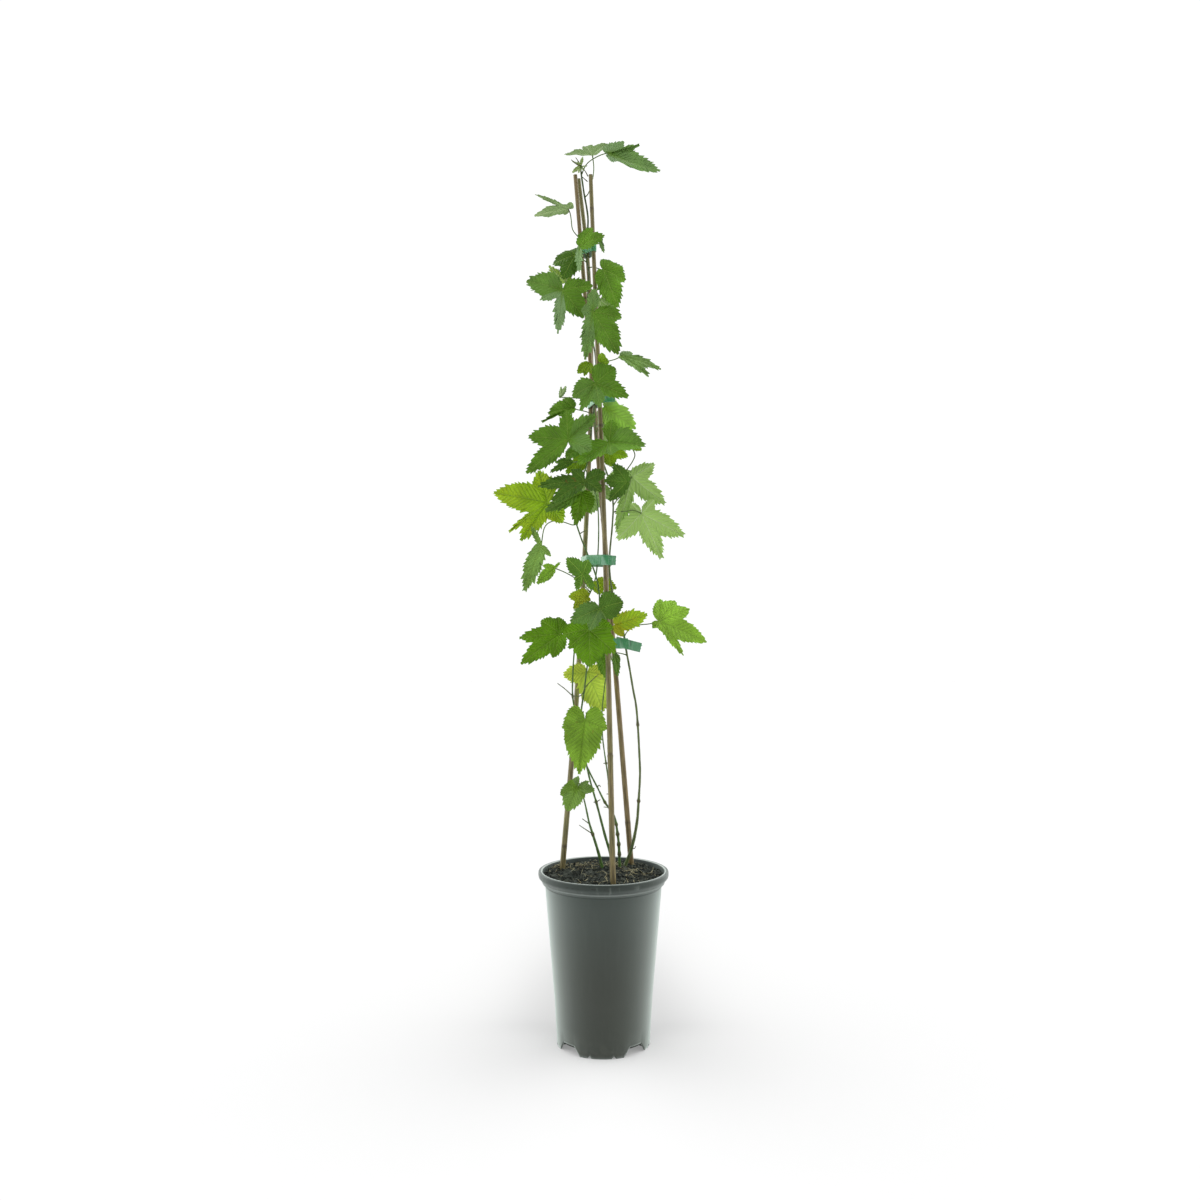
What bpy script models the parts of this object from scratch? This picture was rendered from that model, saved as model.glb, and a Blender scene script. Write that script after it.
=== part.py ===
"""A young hop plant in a nursery pot, tied up three bamboo canes.

Run with: blender --background --python part.py

Units are metres with +Z up. The pot stands on Z = 0 with its axis on the Z axis,
and the plant is seen from the front along +Y.

Places on the plant are read on a front sheet, the way a maker reads a photograph:
"across" and "down" are sheet units from its top left corner, and "depth" is in
millimetres behind the pot's axis. The function seen() turns them into a place in space.
All sizes are real ones, in millimetres until MM turns them into metres.
"""

import math
from typing import NamedTuple

import bmesh
import bpy
import numpy as np
from mathutils import Matrix, Vector

MM = 0.001
CONTACT_GAP = 0.3
WELD_DISTANCE = 1e-6

# The front sheet: where the eye stands and how far one sheet unit reaches.
EYE_DISTANCE = 1346
EYE_HEIGHT = 509
EYE_SIDE = -4
SHEET_MIDDLE = 600
SHEET_REACH = 1166.7

# The pot
POT_HEIGHT = 198
POT_RIM_RADIUS = 75
POT_RIM_BAND = 2.8
POT_LIP_HEIGHT = 6
POT_LIP_SETBACK = 0.4
POT_EDGE_ROUND = 1
POT_COLLAR_HEIGHT = 13
POT_COLLAR_RADIUS = 69
POT_SHOULDER_RADIUS = 67
POT_WAIST_HEIGHT = 54
POT_WAIST_RADIUS = 56
POT_FOOT_RADIUS = 53.5
POT_WALL = 1.4
POT_FLOOR_HEIGHT = 6
POT_SEGMENTS = 32
ARCH_COUNT = 4
ARCH_WIDTH = 27
ARCH_HEIGHT = 11
ARCH_SHOULDER = 0.6
ARCH_TOP_SHARE = 0.7
ARCH_CUT_BELOW = 2
ARCH_CUT_INWARD = 9
ARCH_CUT_OUTWARD = 6

# The compost
COMPOST_EDGE_HEIGHT = 187
COMPOST_RISE = 8
COMPOST_SEGMENTS = 28
COMPOST_RING_SHARES = (0.97, 0.8, 0.55, 0.28)
STEM_ROOT_DEPTH = 12

# The canes
CANE_FOOT_RADIUS = 3.3
CANE_TOP_RADIUS = 2.3
CANE_SIDES_RESOLUTION = 2
CANE_DEPTH_IN_COMPOST = 35
STRAIGHT_CANE_PLACES = 5
BENT_CANE_PLACES = 9

# The bines
BINE_SIDES_RESOLUTION = 1

# The tie tape
TAPE_WIDTH = 11.5
TAPE_THICKNESS = 0.5
TAPE_SLACK = 0.4
TAPE_CORNERS = 18

# The leaves
BLADE_THICKNESS = 0.7
STALK_RADIUS = 0.8
STALK_RINGS = 4
STALK_SIDES = 4
STALK_FLARE_DEPTH = 0.9
STALK_FOOT_ALONG = 0.2
STALK_FOOT_OUTWARD = 0.15
STALK_FOOT_RISE = 0.1
STALK_END_HANDLE = 0.35
STALK_END_REACH = 0.4
STALK_END_FORWARD = 0.6
STALK_END_UPWARD = 0.8
SINUS_RADIUS = 1.6
LOBE_ROOT = 0.75
LOBE_SWELL = 1.6
LOBE_POINT = 0.75
LOBE_SHOULDERS = (0.45, 0.78)
CORNER_SPACING = 0.09
MIDDLE_RING = 0.55
RIM_THINNING = 0.5
LARGE_LEAF_REACH = 24


class Cane(NamedTuple):
    """A bamboo cane: its places on the sheet from the compost up, each with its depth."""

    name: str
    route: tuple
    rings: tuple


class Bine(NamedTuple):
    """A climbing stem: its places on the sheet from low to high, and its radius at both ends."""

    name: str
    foot_radius: float
    tip_radius: float
    rooted: bool
    route: tuple


class Leaf(NamedTuple):
    """One leaf: where its stalk leaves a bine, where the stalk meets the blade, and its lobes.

    A lobe is its tip's across, down and depth, and its half width in millimetres.
    The lobes run anticlockwise round the stalk as the upper face is seen.
    """

    name: str
    bine: str
    foot: float
    junction: tuple
    lobes: tuple
    arch: float = 2.0
    fold: float = 0.15


class Tape(NamedTuple):
    """A turn of tie tape: its level on the sheet, the canes and stems in it, and its tail's two ends."""

    name: str
    down: float
    ties: tuple
    tail: tuple


CANES = (
    Cane("cane_front", ((612.9, 877, -52), (605.6, 568, -33), (590.6, 174.8, -8)), (756, 427, 210)),
    Cane("cane_back", ((631.6, 869, 44), (606.5, 560, 27), (575.2, 174.8, -5)), (823, 520, 300)),
    Cane(
        "cane_left",
        (
            (562.2, 871, 26),
            (576.6, 697, 27),
            (585.4, 540, 25),
            (590.4, 420, 21),
            (591.2, 350, 17),
            (587.8, 262, 11),
            (578.6, 178.8, 5),
        ),
        (847, 610, 390, 240),
    ),
)

BINES = (
    Bine(
        "bine_right",
        1.9,
        1.1,
        True,
        (
            (624, 868, 24),
            (631, 850, 20),
            (636.7, 824, 14),
            (638.6, 801, 8),
            (640, 774, 0),
            (639.3, 753, -6),
            (637.7, 724, -12),
            (636, 705, -16),
            (633.2, 690, -20),
            (629.5, 668, -25),
            (626.2, 650, -28),
            (623, 630, -28),
            (617, 610, -26),
            (612, 590, -24),
            (609.6, 570, -21),
            (609.8, 553, -19),
            (612.4, 524, -15),
            (613, 502, -12),
            (609, 480, -10),
            (603, 462, -10),
            (598, 445, -13),
            (595, 425, -14),
            (594.5, 405, -14),
        ),
    ),
    Bine(
        "bine_middle",
        1.5,
        1.0,
        True,
        (
            (619.8, 868, 20),
            (619, 848, 19),
            (617.6, 834, 17),
            (614, 816, 12),
            (604.8, 802, 4),
            (597.2, 787, -2),
            (589, 771, -6),
            (583.2, 757, -7),
            (578.5, 738, -4),
            (575.3, 714, 0),
            (572.6, 696, 3),
            (572.8, 676, 4),
            (574.9, 645, 4),
            (579, 622, 3),
            (587, 600, 3),
            (595, 580, 4),
            (597.9, 554, 5),
            (598.6, 524, 5),
            (597, 500, 4),
            (592.5, 482, 3),
        ),
    ),
    Bine(
        "bine_inner",
        1.6,
        1.1,
        True,
        (
            (612, 868, 16),
            (610, 852, 15),
            (606, 839, 13),
            (600.4, 818, 10),
            (596.2, 802, 8),
            (590, 780, 8),
            (585, 757, 8),
            (581, 716, 6),
            (584.4, 690, 1),
            (587, 668, -6),
            (593.5, 636, -13),
            (599.5, 606, -16),
            (597, 580, -16),
            (587.5, 554, -14),
            (580, 535, -14),
            (575, 516, -15),
            (576.5, 495, -16),
            (583, 476, -14),
            (588.5, 458, -10),
            (590.5, 440, -7),
        ),
    ),
    Bine(
        "bine_short",
        1.7,
        1.0,
        True,
        (
            (603.6, 872, 10),
            (598.5, 853, 4),
            (592.7, 834, -2),
            (589.5, 824, -4),
            (584.4, 801, -8),
            (581, 790, -9),
        ),
    ),
    Bine(
        "bine_side",
        1.2,
        0.8,
        False,
        (
            (609, 795, -2),
            (608.2, 780, -5),
            (606, 763, -8),
            (602.8, 739, -10),
            (602, 713, -10),
            (604.2, 690, -12),
            (606, 672, -14),
            (606, 652, -18),
        ),
    ),
    Bine(
        "bine_lead",
        1.1,
        0.7,
        False,
        (
            (590.7, 436, -6.5),
            (592.5, 418, -6),
            (595, 398, -4),
            (596.5, 378, -2),
            (595.5, 358, -2),
            (592.5, 338, -4),
            (589.5, 318, -7),
            (587.7, 300, -9),
            (588.3, 284, -9),
            (589, 272, -8),
            (587, 262, -6),
            (586.3, 247, -4),
            (587.6, 232, -3),
            (588, 219, -3),
            (586.7, 208, -4),
            (584.5, 196, -5),
            (582.5, 183, -6),
            (581, 172, -7),
        ),
    ),
)

LEAVES = (
    Leaf(
        "leaf_01",
        "bine_lead",
        190,
        (592.5, 155.6, 4),
        ((564, 155, -4, 8), (585, 146, -24, 7), (609, 143.8, -22, 9)),
    ),
    Leaf(
        "leaf_02",
        "bine_lead",
        180,
        (608, 153, -8),
        ((622, 161, 2, 6), (660, 171.5, -34, 14), (639.5, 143.5, -20, 8), (624, 141.5, -30, 10)),
    ),
    Leaf(
        "shoot_tip",
        "bine_lead",
        172,
        (580.6, 165.5, -8),
        ((572, 173, -14, 2), (571.5, 160.5, -10, 1), (583, 156.2, -6, 1.5)),
        0.3,
        0,
    ),
    Leaf(
        "leaf_03",
        "bine_lead",
        240,
        (568.2, 209, -10),
        ((564, 215, -2, 3.5), (534, 216, -14, 8.5), (534.3, 194.3, -4, 3.5), (573, 203.4, -16, 4.5)),
    ),
    Leaf(
        "leaf_04",
        "bine_lead",
        255,
        (579.5, 246.5, -21),
        ((579.5, 273, -27, 3.5), (603.6, 252.4, -19, 3), (605, 234.5, -25, 8), (594, 227.5, -20, 7)),
    ),
    Leaf(
        "leaf_05",
        "bine_lead",
        262,
        (575.3, 255, -8),
        ((569.5, 250.5, -2, 7), (552.5, 265, -6, 10.5), (563, 279, -12, 10.5), (574.5, 268, -8, 7)),
    ),
    Leaf(
        "leaf_06",
        "bine_lead",
        284,
        (562.8, 290, -28),
        (
            (526, 282, -22, 16),
            (539, 301.5, -32, 7),
            (557.6, 334.4, -38, 7),
            (583.7, 318.3, -30, 15),
            (593.2, 285.6, -26, 11),
        ),
    ),
    Leaf(
        "leaf_07",
        "bine_lead",
        268,
        (603.5, 270, -16),
        ((600.5, 288, -19, 7), (617, 307.5, -24, 13), (624, 282, -16, 12), (609, 262.5, -12, 8)),
    ),
    Leaf(
        "leaf_08",
        "bine_lead",
        306,
        (592.8, 312, -43),
        (
            (594, 288.5, -40, 7),
            (581, 311, -44, 8),
            (585, 360, -54, 8),
            (618.5, 354.5, -54, 15),
            (622, 318, -42, 13),
        ),
    ),
    Leaf(
        "leaf_09",
        "bine_lead",
        366,
        (620.5, 356.4, -34),
        ((649, 377, -42, 7), (661.3, 369.6, -32, 8), (633, 354, -24, 4.5)),
    ),
    Leaf(
        "leaf_10",
        "bine_lead",
        352,
        (604, 356, -24),
        ((603.5, 369, -26, 4.5), (609.6, 364, -24, 4.5), (608.5, 352.5, -22, 4.5)),
    ),
    Leaf(
        "leaf_11",
        "bine_lead",
        394,
        (595.3, 383.7, -38),
        (
            (572.5, 397, -42, 12.5),
            (580, 411, -44, 8),
            (600, 407.5, -50, 9),
            (628.3, 397.8, -46, 15),
            (607, 368, -34, 10.5),
        ),
    ),
    Leaf(
        "leaf_12",
        "bine_lead",
        415,
        (574, 408, -28),
        ((562.5, 398.5, -26, 6), (548, 414, -33, 10.5), (542, 423, -33, 4.5), (565, 412, -32, 4.5)),
    ),
    Leaf(
        "leaf_13",
        "bine_lead",
        430,
        (568, 440, -44),
        (
            (591, 450.5, -60, 15),
            (595.7, 415.3, -34, 10.5),
            (566.5, 410, -40, 9),
            (528.3, 436.4, -46, 14),
            (525.7, 473.8, -52, 10.5),
        ),
    ),
    Leaf(
        "leaf_14",
        "bine_right",
        432,
        (605, 407.5, -14),
        ((617.5, 428, -18, 11), (636, 429, -24, 13), (619, 404, -16, 9)),
    ),
    Leaf(
        "leaf_15",
        "bine_right",
        446,
        (609.4, 442.4, -36),
        ((578.4, 464.3, -46, 14), (611.5, 455.3, -52, 12), (645, 446, -40, 15), (612, 420, -34, 9)),
    ),
    Leaf(
        "leaf_16",
        "bine_right",
        487,
        (631.5, 446.5, -34),
        ((642, 450.3, -36, 4.5), (628, 437, -28, 6), (624, 446, -31, 4.5)),
        1,
    ),
    Leaf(
        "leaf_17",
        "bine_right",
        452,
        (608, 451, -12),
        ((612, 467, -14, 9), (628.3, 456.6, -14, 7)),
    ),
    Leaf(
        "leaf_18",
        "bine_inner",
        448,
        (578.5, 449, -30),
        ((571.5, 446, -28, 4.5), (565.5, 459, -34, 7.5)),
    ),
    Leaf(
        "leaf_19",
        "bine_inner",
        462,
        (571.5, 462, -30),
        ((555, 462.6, -30, 4.5), (549.5, 472.5, -33, 4)),
        1,
    ),
    Leaf(
        "leaf_20",
        "bine_inner",
        455,
        (582, 458.5, -6),
        ((573, 459, -8, 4.5), (565.5, 474, -12, 6), (580, 472, -10, 7)),
        1,
    ),
    Leaf(
        "leaf_21",
        "bine_inner",
        470,
        (584.6, 481, -44),
        (
            (572, 469.5, -38, 7),
            (537.2, 487.2, -46, 8),
            (550.5, 501.5, -54, 10.5),
            (601, 491, -52, 9),
            (605.5, 473, -40, 10.5),
        ),
    ),
    Leaf(
        "leaf_22",
        "bine_inner",
        486,
        (581.6, 493, -36),
        ((546, 511, -46, 9), (575.5, 523.7, -42, 10.5), (589, 512.8, -38, 10.5)),
    ),
    Leaf(
        "leaf_23",
        "bine_inner",
        500,
        (547.8, 502.8, -30),
        (
            (539, 471.5, -22, 14),
            (493.4, 492.6, -24, 19.5),
            (508.5, 532.3, -40, 4),
            (520.7, 541, -32, 10.5),
            (562, 522, -36, 10.5),
        ),
    ),
    Leaf(
        "leaf_24",
        "bine_right",
        496,
        (632, 476.8, -30),
        ((619, 530, -30, 10.5), (665, 503.7, -34, 12.5), (654.3, 463.4, -26, 10.5), (606, 478, -26, 17)),
    ),
    Leaf(
        "leaf_25",
        "bine_right",
        512,
        (641.4, 513.4, -44),
        ((617.2, 539.4, -44, 11.5), (661.8, 558.3, -52, 11.5), (684, 535.3, -46, 12.5), (654, 500.5, -40, 9)),
    ),
    Leaf(
        "leaf_26",
        "bine_inner",
        524,
        (541, 546, -44),
        ((531.5, 526, -40, 3), (524.5, 591.3, -46, 9.5), (551, 556.5, -48, 3.5)),
        1,
    ),
    Leaf(
        "leaf_27",
        "bine_middle",
        592,
        (554.3, 568, -26),
        ((561, 562, -28, 1.5), (542.5, 565.5, -24, 3.5), (537, 584, -28, 6.5), (547.7, 581, -30, 2.5)),
        1,
    ),
    Leaf(
        "leaf_28",
        "bine_inner",
        590,
        (582.6, 574.4, -40),
        (
            (592, 594.5, -42, 7),
            (588.3, 559.5, -38, 7),
            (566.5, 557.8, -42, 9),
            (573, 580, -42, 5),
            (579, 593.7, -46, 7),
        ),
    ),
    Leaf(
        "leaf_29",
        "bine_middle",
        588,
        (597.5, 581.5, -4),
        ((600, 595, -6, 7), (616.8, 588.5, -8, 7.5)),
        1,
    ),
    Leaf(
        "leaf_30",
        "bine_middle",
        606,
        (587.5, 597, -24),
        ((576, 590.5, -26, 6), (568.3, 596.6, -30, 8), (573, 608.6, -32, 7)),
    ),
    Leaf(
        "leaf_31",
        "bine_inner",
        600,
        (600, 608.5, -52),
        ((570.3, 622, -58, 11.5), (589.5, 630.6, -64, 7), (606.5, 620, -56, 6), (623.5, 602, -54, 15)),
    ),
    Leaf(
        "leaf_32",
        "bine_inner",
        634,
        (589, 629.5, -40),
        (
            (562.5, 634.5, -40, 12.5),
            (568.5, 648.5, -44, 9),
            (590.5, 667, -50, 18.5),
            (615.3, 653, -48, 14),
            (613, 628, -44, 12.5),
        ),
    ),
    Leaf(
        "leaf_33",
        "bine_middle",
        645,
        (560.3, 634, -26),
        (
            (557.5, 618.5, -22, 10),
            (520, 639.2, -28, 11),
            (521.2, 664.3, -38, 12),
            (549.5, 657.3, -36, 11),
        ),
    ),
    Leaf(
        "leaf_34",
        "bine_right",
        618,
        (616, 624.5, -38),
        ((623.2, 636.8, -40, 6), (647.5, 614.5, -40, 10.5), (620, 613.5, -36, 4.5)),
    ),
    Leaf(
        "leaf_35",
        "bine_right",
        633,
        (659.3, 621.7, -22),
        (
            (652, 629.3, -24, 6),
            (683.3, 654.8, -40, 6.5),
            (706.6, 641.6, -34, 15),
            (689.6, 609.4, -14, 15),
            (659, 599.8, -6, 10),
        ),
    ),
    Leaf(
        "leaf_36",
        "bine_side",
        655,
        (599.5, 652, -26),
        ((606, 679.2, -30, 8), (612, 660, -22, 6)),
    ),
    Leaf(
        "leaf_37",
        "bine_right",
        655,
        (614.5, 654.5, -14),
        ((617.5, 676.5, -12, 5), (620, 662, -10, 3.5)),
        0.5,
    ),
    Leaf(
        "leaf_38",
        "bine_inner",
        680,
        (587.5, 672.5, 14),
        ((563.5, 677, 16, 10.5), (602.3, 711.5, 12, 16), (607, 676, 16, 9)),
    ),
    Leaf(
        "leaf_39",
        "bine_inner",
        735,
        (585, 720, -20),
        (
            (571, 716.5, -20, 10),
            (564.5, 735, -26, 14),
            (579, 768, -30, 17),
            (604.5, 735, -28, 14),
            (602, 714, -22, 11),
        ),
    ),
    Leaf(
        "leaf_40",
        "bine_short",
        794,
        (576.8, 788, -14),
        (
            (581, 777.3, -10, 4.5),
            (566, 790, -16, 9),
            (567, 811.5, -26, 10.5),
            (581, 798, -22, 8),
            (594.3, 789.3, -18, 6),
        ),
    ),
    Leaf(
        "leaf_41",
        "bine_lead",
        320,
        (600, 300, 32),
        ((613, 312, 40, 10.5), (602, 330, 62, 11.5), (587, 309, 46, 10.5)),
    ),
    Leaf(
        "leaf_42",
        "bine_right",
        428,
        (607, 418, 36),
        ((624, 426, 42, 11.5), (607, 446, 70, 14), (588, 427, 50, 11.5)),
    ),
    Leaf(
        "leaf_43",
        "bine_middle",
        500,
        (594, 488, 40),
        ((612, 500, 46, 10.5), (590, 514, 68, 14), (573, 492, 50, 11.5)),
    ),
    Leaf(
        "leaf_44",
        "bine_middle",
        628,
        (596, 622, 42),
        ((615, 632, 48, 11.5), (598, 650, 70, 14), (577, 634, 50, 11.5)),
    ),
)

TAPES = (
    Tape("tape_top", 247, ("cane_front", "cane_back", "cane_left", "bine_lead"), ()),
    Tape(
        "tape_upper",
        397.5,
        ("cane_front", "cane_back", "cane_left", "bine_lead"),
        ((597.5, 397.5, -26), (616, 397, -27)),
    ),
    Tape(
        "tape_middle",
        560,
        ("cane_front", "cane_back", "cane_left", "bine_right", "bine_middle", "bine_inner"),
        ((604, 560, -36.6), (616.5, 560.5, -37.4)),
    ),
    Tape("tape_flag", 643.5, ("cane_front", "bine_right"), ((618, 642, -34.5), (642, 648, -36))),
)


def seen(across, down, depth):
    """The place in millimetres that stands at across, down on the front sheet, at this depth."""
    away = (EYE_DISTANCE + depth) / SHEET_REACH
    return np.array(
        (
            EYE_SIDE + (across - SHEET_MIDDLE) * away,
            depth,
            EYE_HEIGHT - (down - SHEET_MIDDLE) * away,
        )
    )


def smooth_route(points, count):
    """Places on a smooth curve through the points: a cubic between each two, sloped as its neighbours are."""
    knots = np.array(points, float)
    steps = np.linalg.norm(np.diff(knots, axis=0), axis=1) ** 0.5
    at = np.concatenate([[0], np.cumsum(steps)])
    slopes = np.gradient(knots, at, axis=0)
    where = np.linspace(0, at[-1], count)
    k = np.clip(np.searchsorted(at, where, side="right") - 1, 0, len(at) - 2)
    span = (at[k + 1] - at[k])[:, None]
    f = ((where - at[k]) / span[:, 0])[:, None]
    return (
        (2 * f**3 - 3 * f**2 + 1) * knots[k]
        + (f**3 - 2 * f**2 + f) * span * slopes[k]
        + (3 * f**2 - 2 * f**3) * knots[k + 1]
        + (f**3 - f**2) * span * slopes[k + 1]
    )


def material(name, colour, roughness, alpha=1.0):
    """A plain surface of one colour."""
    made = bpy.data.materials.new(name)
    made.use_nodes = True
    shader = made.node_tree.nodes["Principled BSDF"]
    shader.inputs["Base Color"].default_value = (*colour, 1)
    shader.inputs["Roughness"].default_value = roughness
    shader.inputs["Metallic"].default_value = 0
    shader.inputs["Alpha"].default_value = alpha
    return made


def add(name, data, surface):
    """Puts the data into the scene as an object with its own material."""
    made = bpy.data.objects.new(name, data)
    bpy.context.scene.collection.objects.link(made)
    data.materials.append(surface)
    return made


def mesh_from(name, points, faces):
    """A closed mesh in metres from places in millimetres, with its faces turned outwards."""
    mesh = bpy.data.meshes.new(name)
    mesh.from_pydata([tuple(p) for p in np.asarray(points) * MM], [], faces)
    shape = bmesh.new()
    shape.from_mesh(mesh)
    bmesh.ops.recalc_face_normals(shape, faces=shape.faces)
    shape.to_mesh(mesh)
    shape.free()
    mesh.shade_smooth()
    return mesh


def turned_mesh(name, profile, segments):
    """The closed profile of (radius, height) points, turned round the Z axis."""
    shape = bmesh.new()
    corners = [shape.verts.new((r * MM, 0, z * MM)) for r, z in profile]
    loop = [shape.edges.new((a, b)) for a, b in zip(corners, corners[1:])]
    if profile[0][0] > 0:
        loop.append(shape.edges.new((corners[-1], corners[0])))
    bmesh.ops.spin(
        shape,
        geom=corners + loop,
        cent=(0, 0, 0),
        axis=(0, 0, 1),
        angle=math.tau,
        steps=segments,
        use_merge=True,
    )
    bmesh.ops.remove_doubles(shape, verts=shape.verts, dist=WELD_DISTANCE)
    bmesh.ops.recalc_face_normals(shape, faces=shape.faces)
    mesh = bpy.data.meshes.new(name)
    shape.to_mesh(mesh)
    shape.free()
    mesh.shade_smooth()
    return mesh


def tube_curve(name, points, radii, resolution):
    """A round rod along the points, in millimetres, with a radius at each and filled ends."""
    curve = bpy.data.curves.new(name, "CURVE")
    curve.dimensions = "3D"
    curve.bevel_depth = MM
    curve.bevel_resolution = resolution
    curve.use_fill_caps = True
    spline = curve.splines.new("POLY")
    spline.points.add(len(points) - 1)
    for place, point, radius in zip(spline.points, points, radii):
        place.co = (*(Vector(point) * MM), 1)
        place.radius = radius
    return curve


def cutter_from_curve(name, curve):
    """A hidden mesh copy of a rod, to bore its hole."""
    rod = bpy.data.objects.new(name + "_rod", curve)
    bpy.context.scene.collection.objects.link(rod)
    graph = bpy.context.evaluated_depsgraph_get()
    mesh = bpy.data.meshes.new_from_object(rod.evaluated_get(graph))
    bpy.data.objects.remove(rod)
    shape = bmesh.new()
    shape.from_mesh(mesh)
    bmesh.ops.remove_doubles(shape, verts=shape.verts, dist=WELD_DISTANCE)
    bmesh.ops.recalc_face_normals(shape, faces=shape.faces)
    shape.to_mesh(mesh)
    shape.free()
    return hidden(name, mesh)


def hidden(name, mesh):
    """An object that only cuts others."""
    made = bpy.data.objects.new(name, mesh)
    bpy.context.scene.collection.objects.link(made)
    made.hide_render = True
    made.display_type = "WIRE"
    return made


def cut(target, cutter, operation="DIFFERENCE"):
    """Cuts the target by the cutter, or joins them."""
    modifier = target.modifiers.new(cutter.name, "BOOLEAN")
    modifier.operation = operation
    modifier.solver = "EXACT"
    modifier.object = cutter


def box_mesh(name, size, frame):
    """A box of the given size in millimetres, placed by a matrix in metres."""
    shape = bmesh.new()
    bmesh.ops.create_cube(shape, size=1, matrix=frame @ Matrix.Diagonal((*(Vector(size) * MM), 1)))
    mesh = bpy.data.meshes.new(name)
    shape.to_mesh(mesh)
    shape.free()
    return mesh


def pot_radius(height):
    """The outer radius of the pot's wall below its collar."""
    heights = (0, POT_WAIST_HEIGHT, POT_HEIGHT - POT_COLLAR_HEIGHT)
    return float(np.interp(height, heights, (POT_FOOT_RADIUS, POT_WAIST_RADIUS, POT_SHOULDER_RADIUS)))


def build_pot():
    """The pot: a turned wall with a collar and a floor, and drainage arches cut through its skirt."""
    collar_foot = POT_HEIGHT - POT_COLLAR_HEIGHT
    lip_foot = POT_HEIGHT - POT_LIP_HEIGHT
    bead = collar_foot + 2 * POT_EDGE_ROUND
    shoulder = collar_foot - POT_EDGE_ROUND
    floor_top = POT_FLOOR_HEIGHT + POT_WALL
    profile = (
        (0, POT_FLOOR_HEIGHT),
        (POT_FOOT_RADIUS - POT_WALL, POT_FLOOR_HEIGHT),
        (POT_FOOT_RADIUS - POT_WALL, 0),
        (POT_FOOT_RADIUS, 0),
        (POT_WAIST_RADIUS, POT_WAIST_HEIGHT),
        (POT_SHOULDER_RADIUS, shoulder),
        (POT_COLLAR_RADIUS, collar_foot),
        (POT_COLLAR_RADIUS + POT_EDGE_ROUND, bead),
        (POT_RIM_RADIUS - POT_LIP_SETBACK, lip_foot),
        (POT_RIM_RADIUS, POT_HEIGHT - POT_EDGE_ROUND),
        (POT_RIM_RADIUS - POT_EDGE_ROUND, POT_HEIGHT),
        (POT_RIM_RADIUS - POT_RIM_BAND, POT_HEIGHT),
        (POT_COLLAR_RADIUS - POT_WALL, bead),
        (POT_SHOULDER_RADIUS - POT_WALL, shoulder),
        (POT_WAIST_RADIUS - POT_WALL, POT_WAIST_HEIGHT),
        (pot_radius(floor_top) - POT_WALL, floor_top),
        (0, floor_top),
    )
    surface = material("pot_plastic", (0.072, 0.078, 0.062), 0.5)
    pot = add("pot", turned_mesh("pot", profile, POT_SEGMENTS), surface)
    for k in range(ARCH_COUNT):
        turn = Matrix.Rotation(math.tau * (k + 0.5) / ARCH_COUNT, 4, "Z")
        cut(pot, hidden(f"arch_cutter_{k + 1}", arch_mesh(turn)))


def arch_mesh(turn):
    """A cutter with sloping shoulders, for one drainage arch."""
    half, low, shoulder = ARCH_WIDTH / 2, -ARCH_CUT_BELOW, ARCH_HEIGHT * ARCH_SHOULDER
    crown = half * ARCH_TOP_SHARE
    outline = (
        (-half, low),
        (half, low),
        (half, shoulder),
        (crown, ARCH_HEIGHT),
        (-crown, ARCH_HEIGHT),
        (-half, shoulder),
    )
    near, far = POT_FOOT_RADIUS - ARCH_CUT_INWARD, POT_FOOT_RADIUS + ARCH_CUT_OUTWARD
    points = [turn @ Vector((r, y, z)) for r in (near, far) for y, z in outline]
    count = len(outline)
    sides = [(i, (i + 1) % count, count + (i + 1) % count, count + i) for i in range(count)]
    return mesh_from("arch", points, sides + [tuple(range(count)), tuple(range(count, 2 * count))])


def compost_height(radius):
    """The compost's surface: a low mound that falls to the pot's wall."""
    reach = pot_radius(COMPOST_EDGE_HEIGHT) - POT_WALL
    return COMPOST_EDGE_HEIGHT + COMPOST_RISE * (1 - (radius / reach) ** 2)


def build_compost(cane_routes, bine_routes):
    """The compost: it fills the pot, with a bore for each cane and each rooted stem."""
    inset = POT_WALL + CONTACT_GAP
    bottom = POT_FLOOR_HEIGHT + POT_WALL + CONTACT_GAP
    edge_foot = COMPOST_EDGE_HEIGHT - 1
    edge = pot_radius(edge_foot) - inset
    profile = [
        (0, bottom),
        (pot_radius(bottom) - inset, bottom),
        (POT_WAIST_RADIUS - inset, POT_WAIST_HEIGHT),
        (edge, edge_foot),
    ]
    profile += [(edge * share, compost_height(edge * share)) for share in COMPOST_RING_SHARES]
    profile.append((0, compost_height(0)))
    surface = material("compost", (0.035, 0.022, 0.014), 0.95)
    compost = add("compost", turned_mesh("compost", profile, COMPOST_SEGMENTS), surface)
    mound_top = COMPOST_EDGE_HEIGHT + COMPOST_RISE + CONTACT_GAP
    for name, points, radii in cane_routes + bine_routes:
        count = int((points[:, 2] < mound_top).sum()) + 1
        down = (points[0] - points[1]) / np.linalg.norm(points[0] - points[1])
        bore = np.vstack([points[0] + down * CONTACT_GAP, points[1:count]])
        widths = [radii[0] + CONTACT_GAP] * len(bore)
        rod = tube_curve(name, bore, widths, CANE_SIDES_RESOLUTION)
        cut(compost, cutter_from_curve(name + "_bore", rod))


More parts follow.
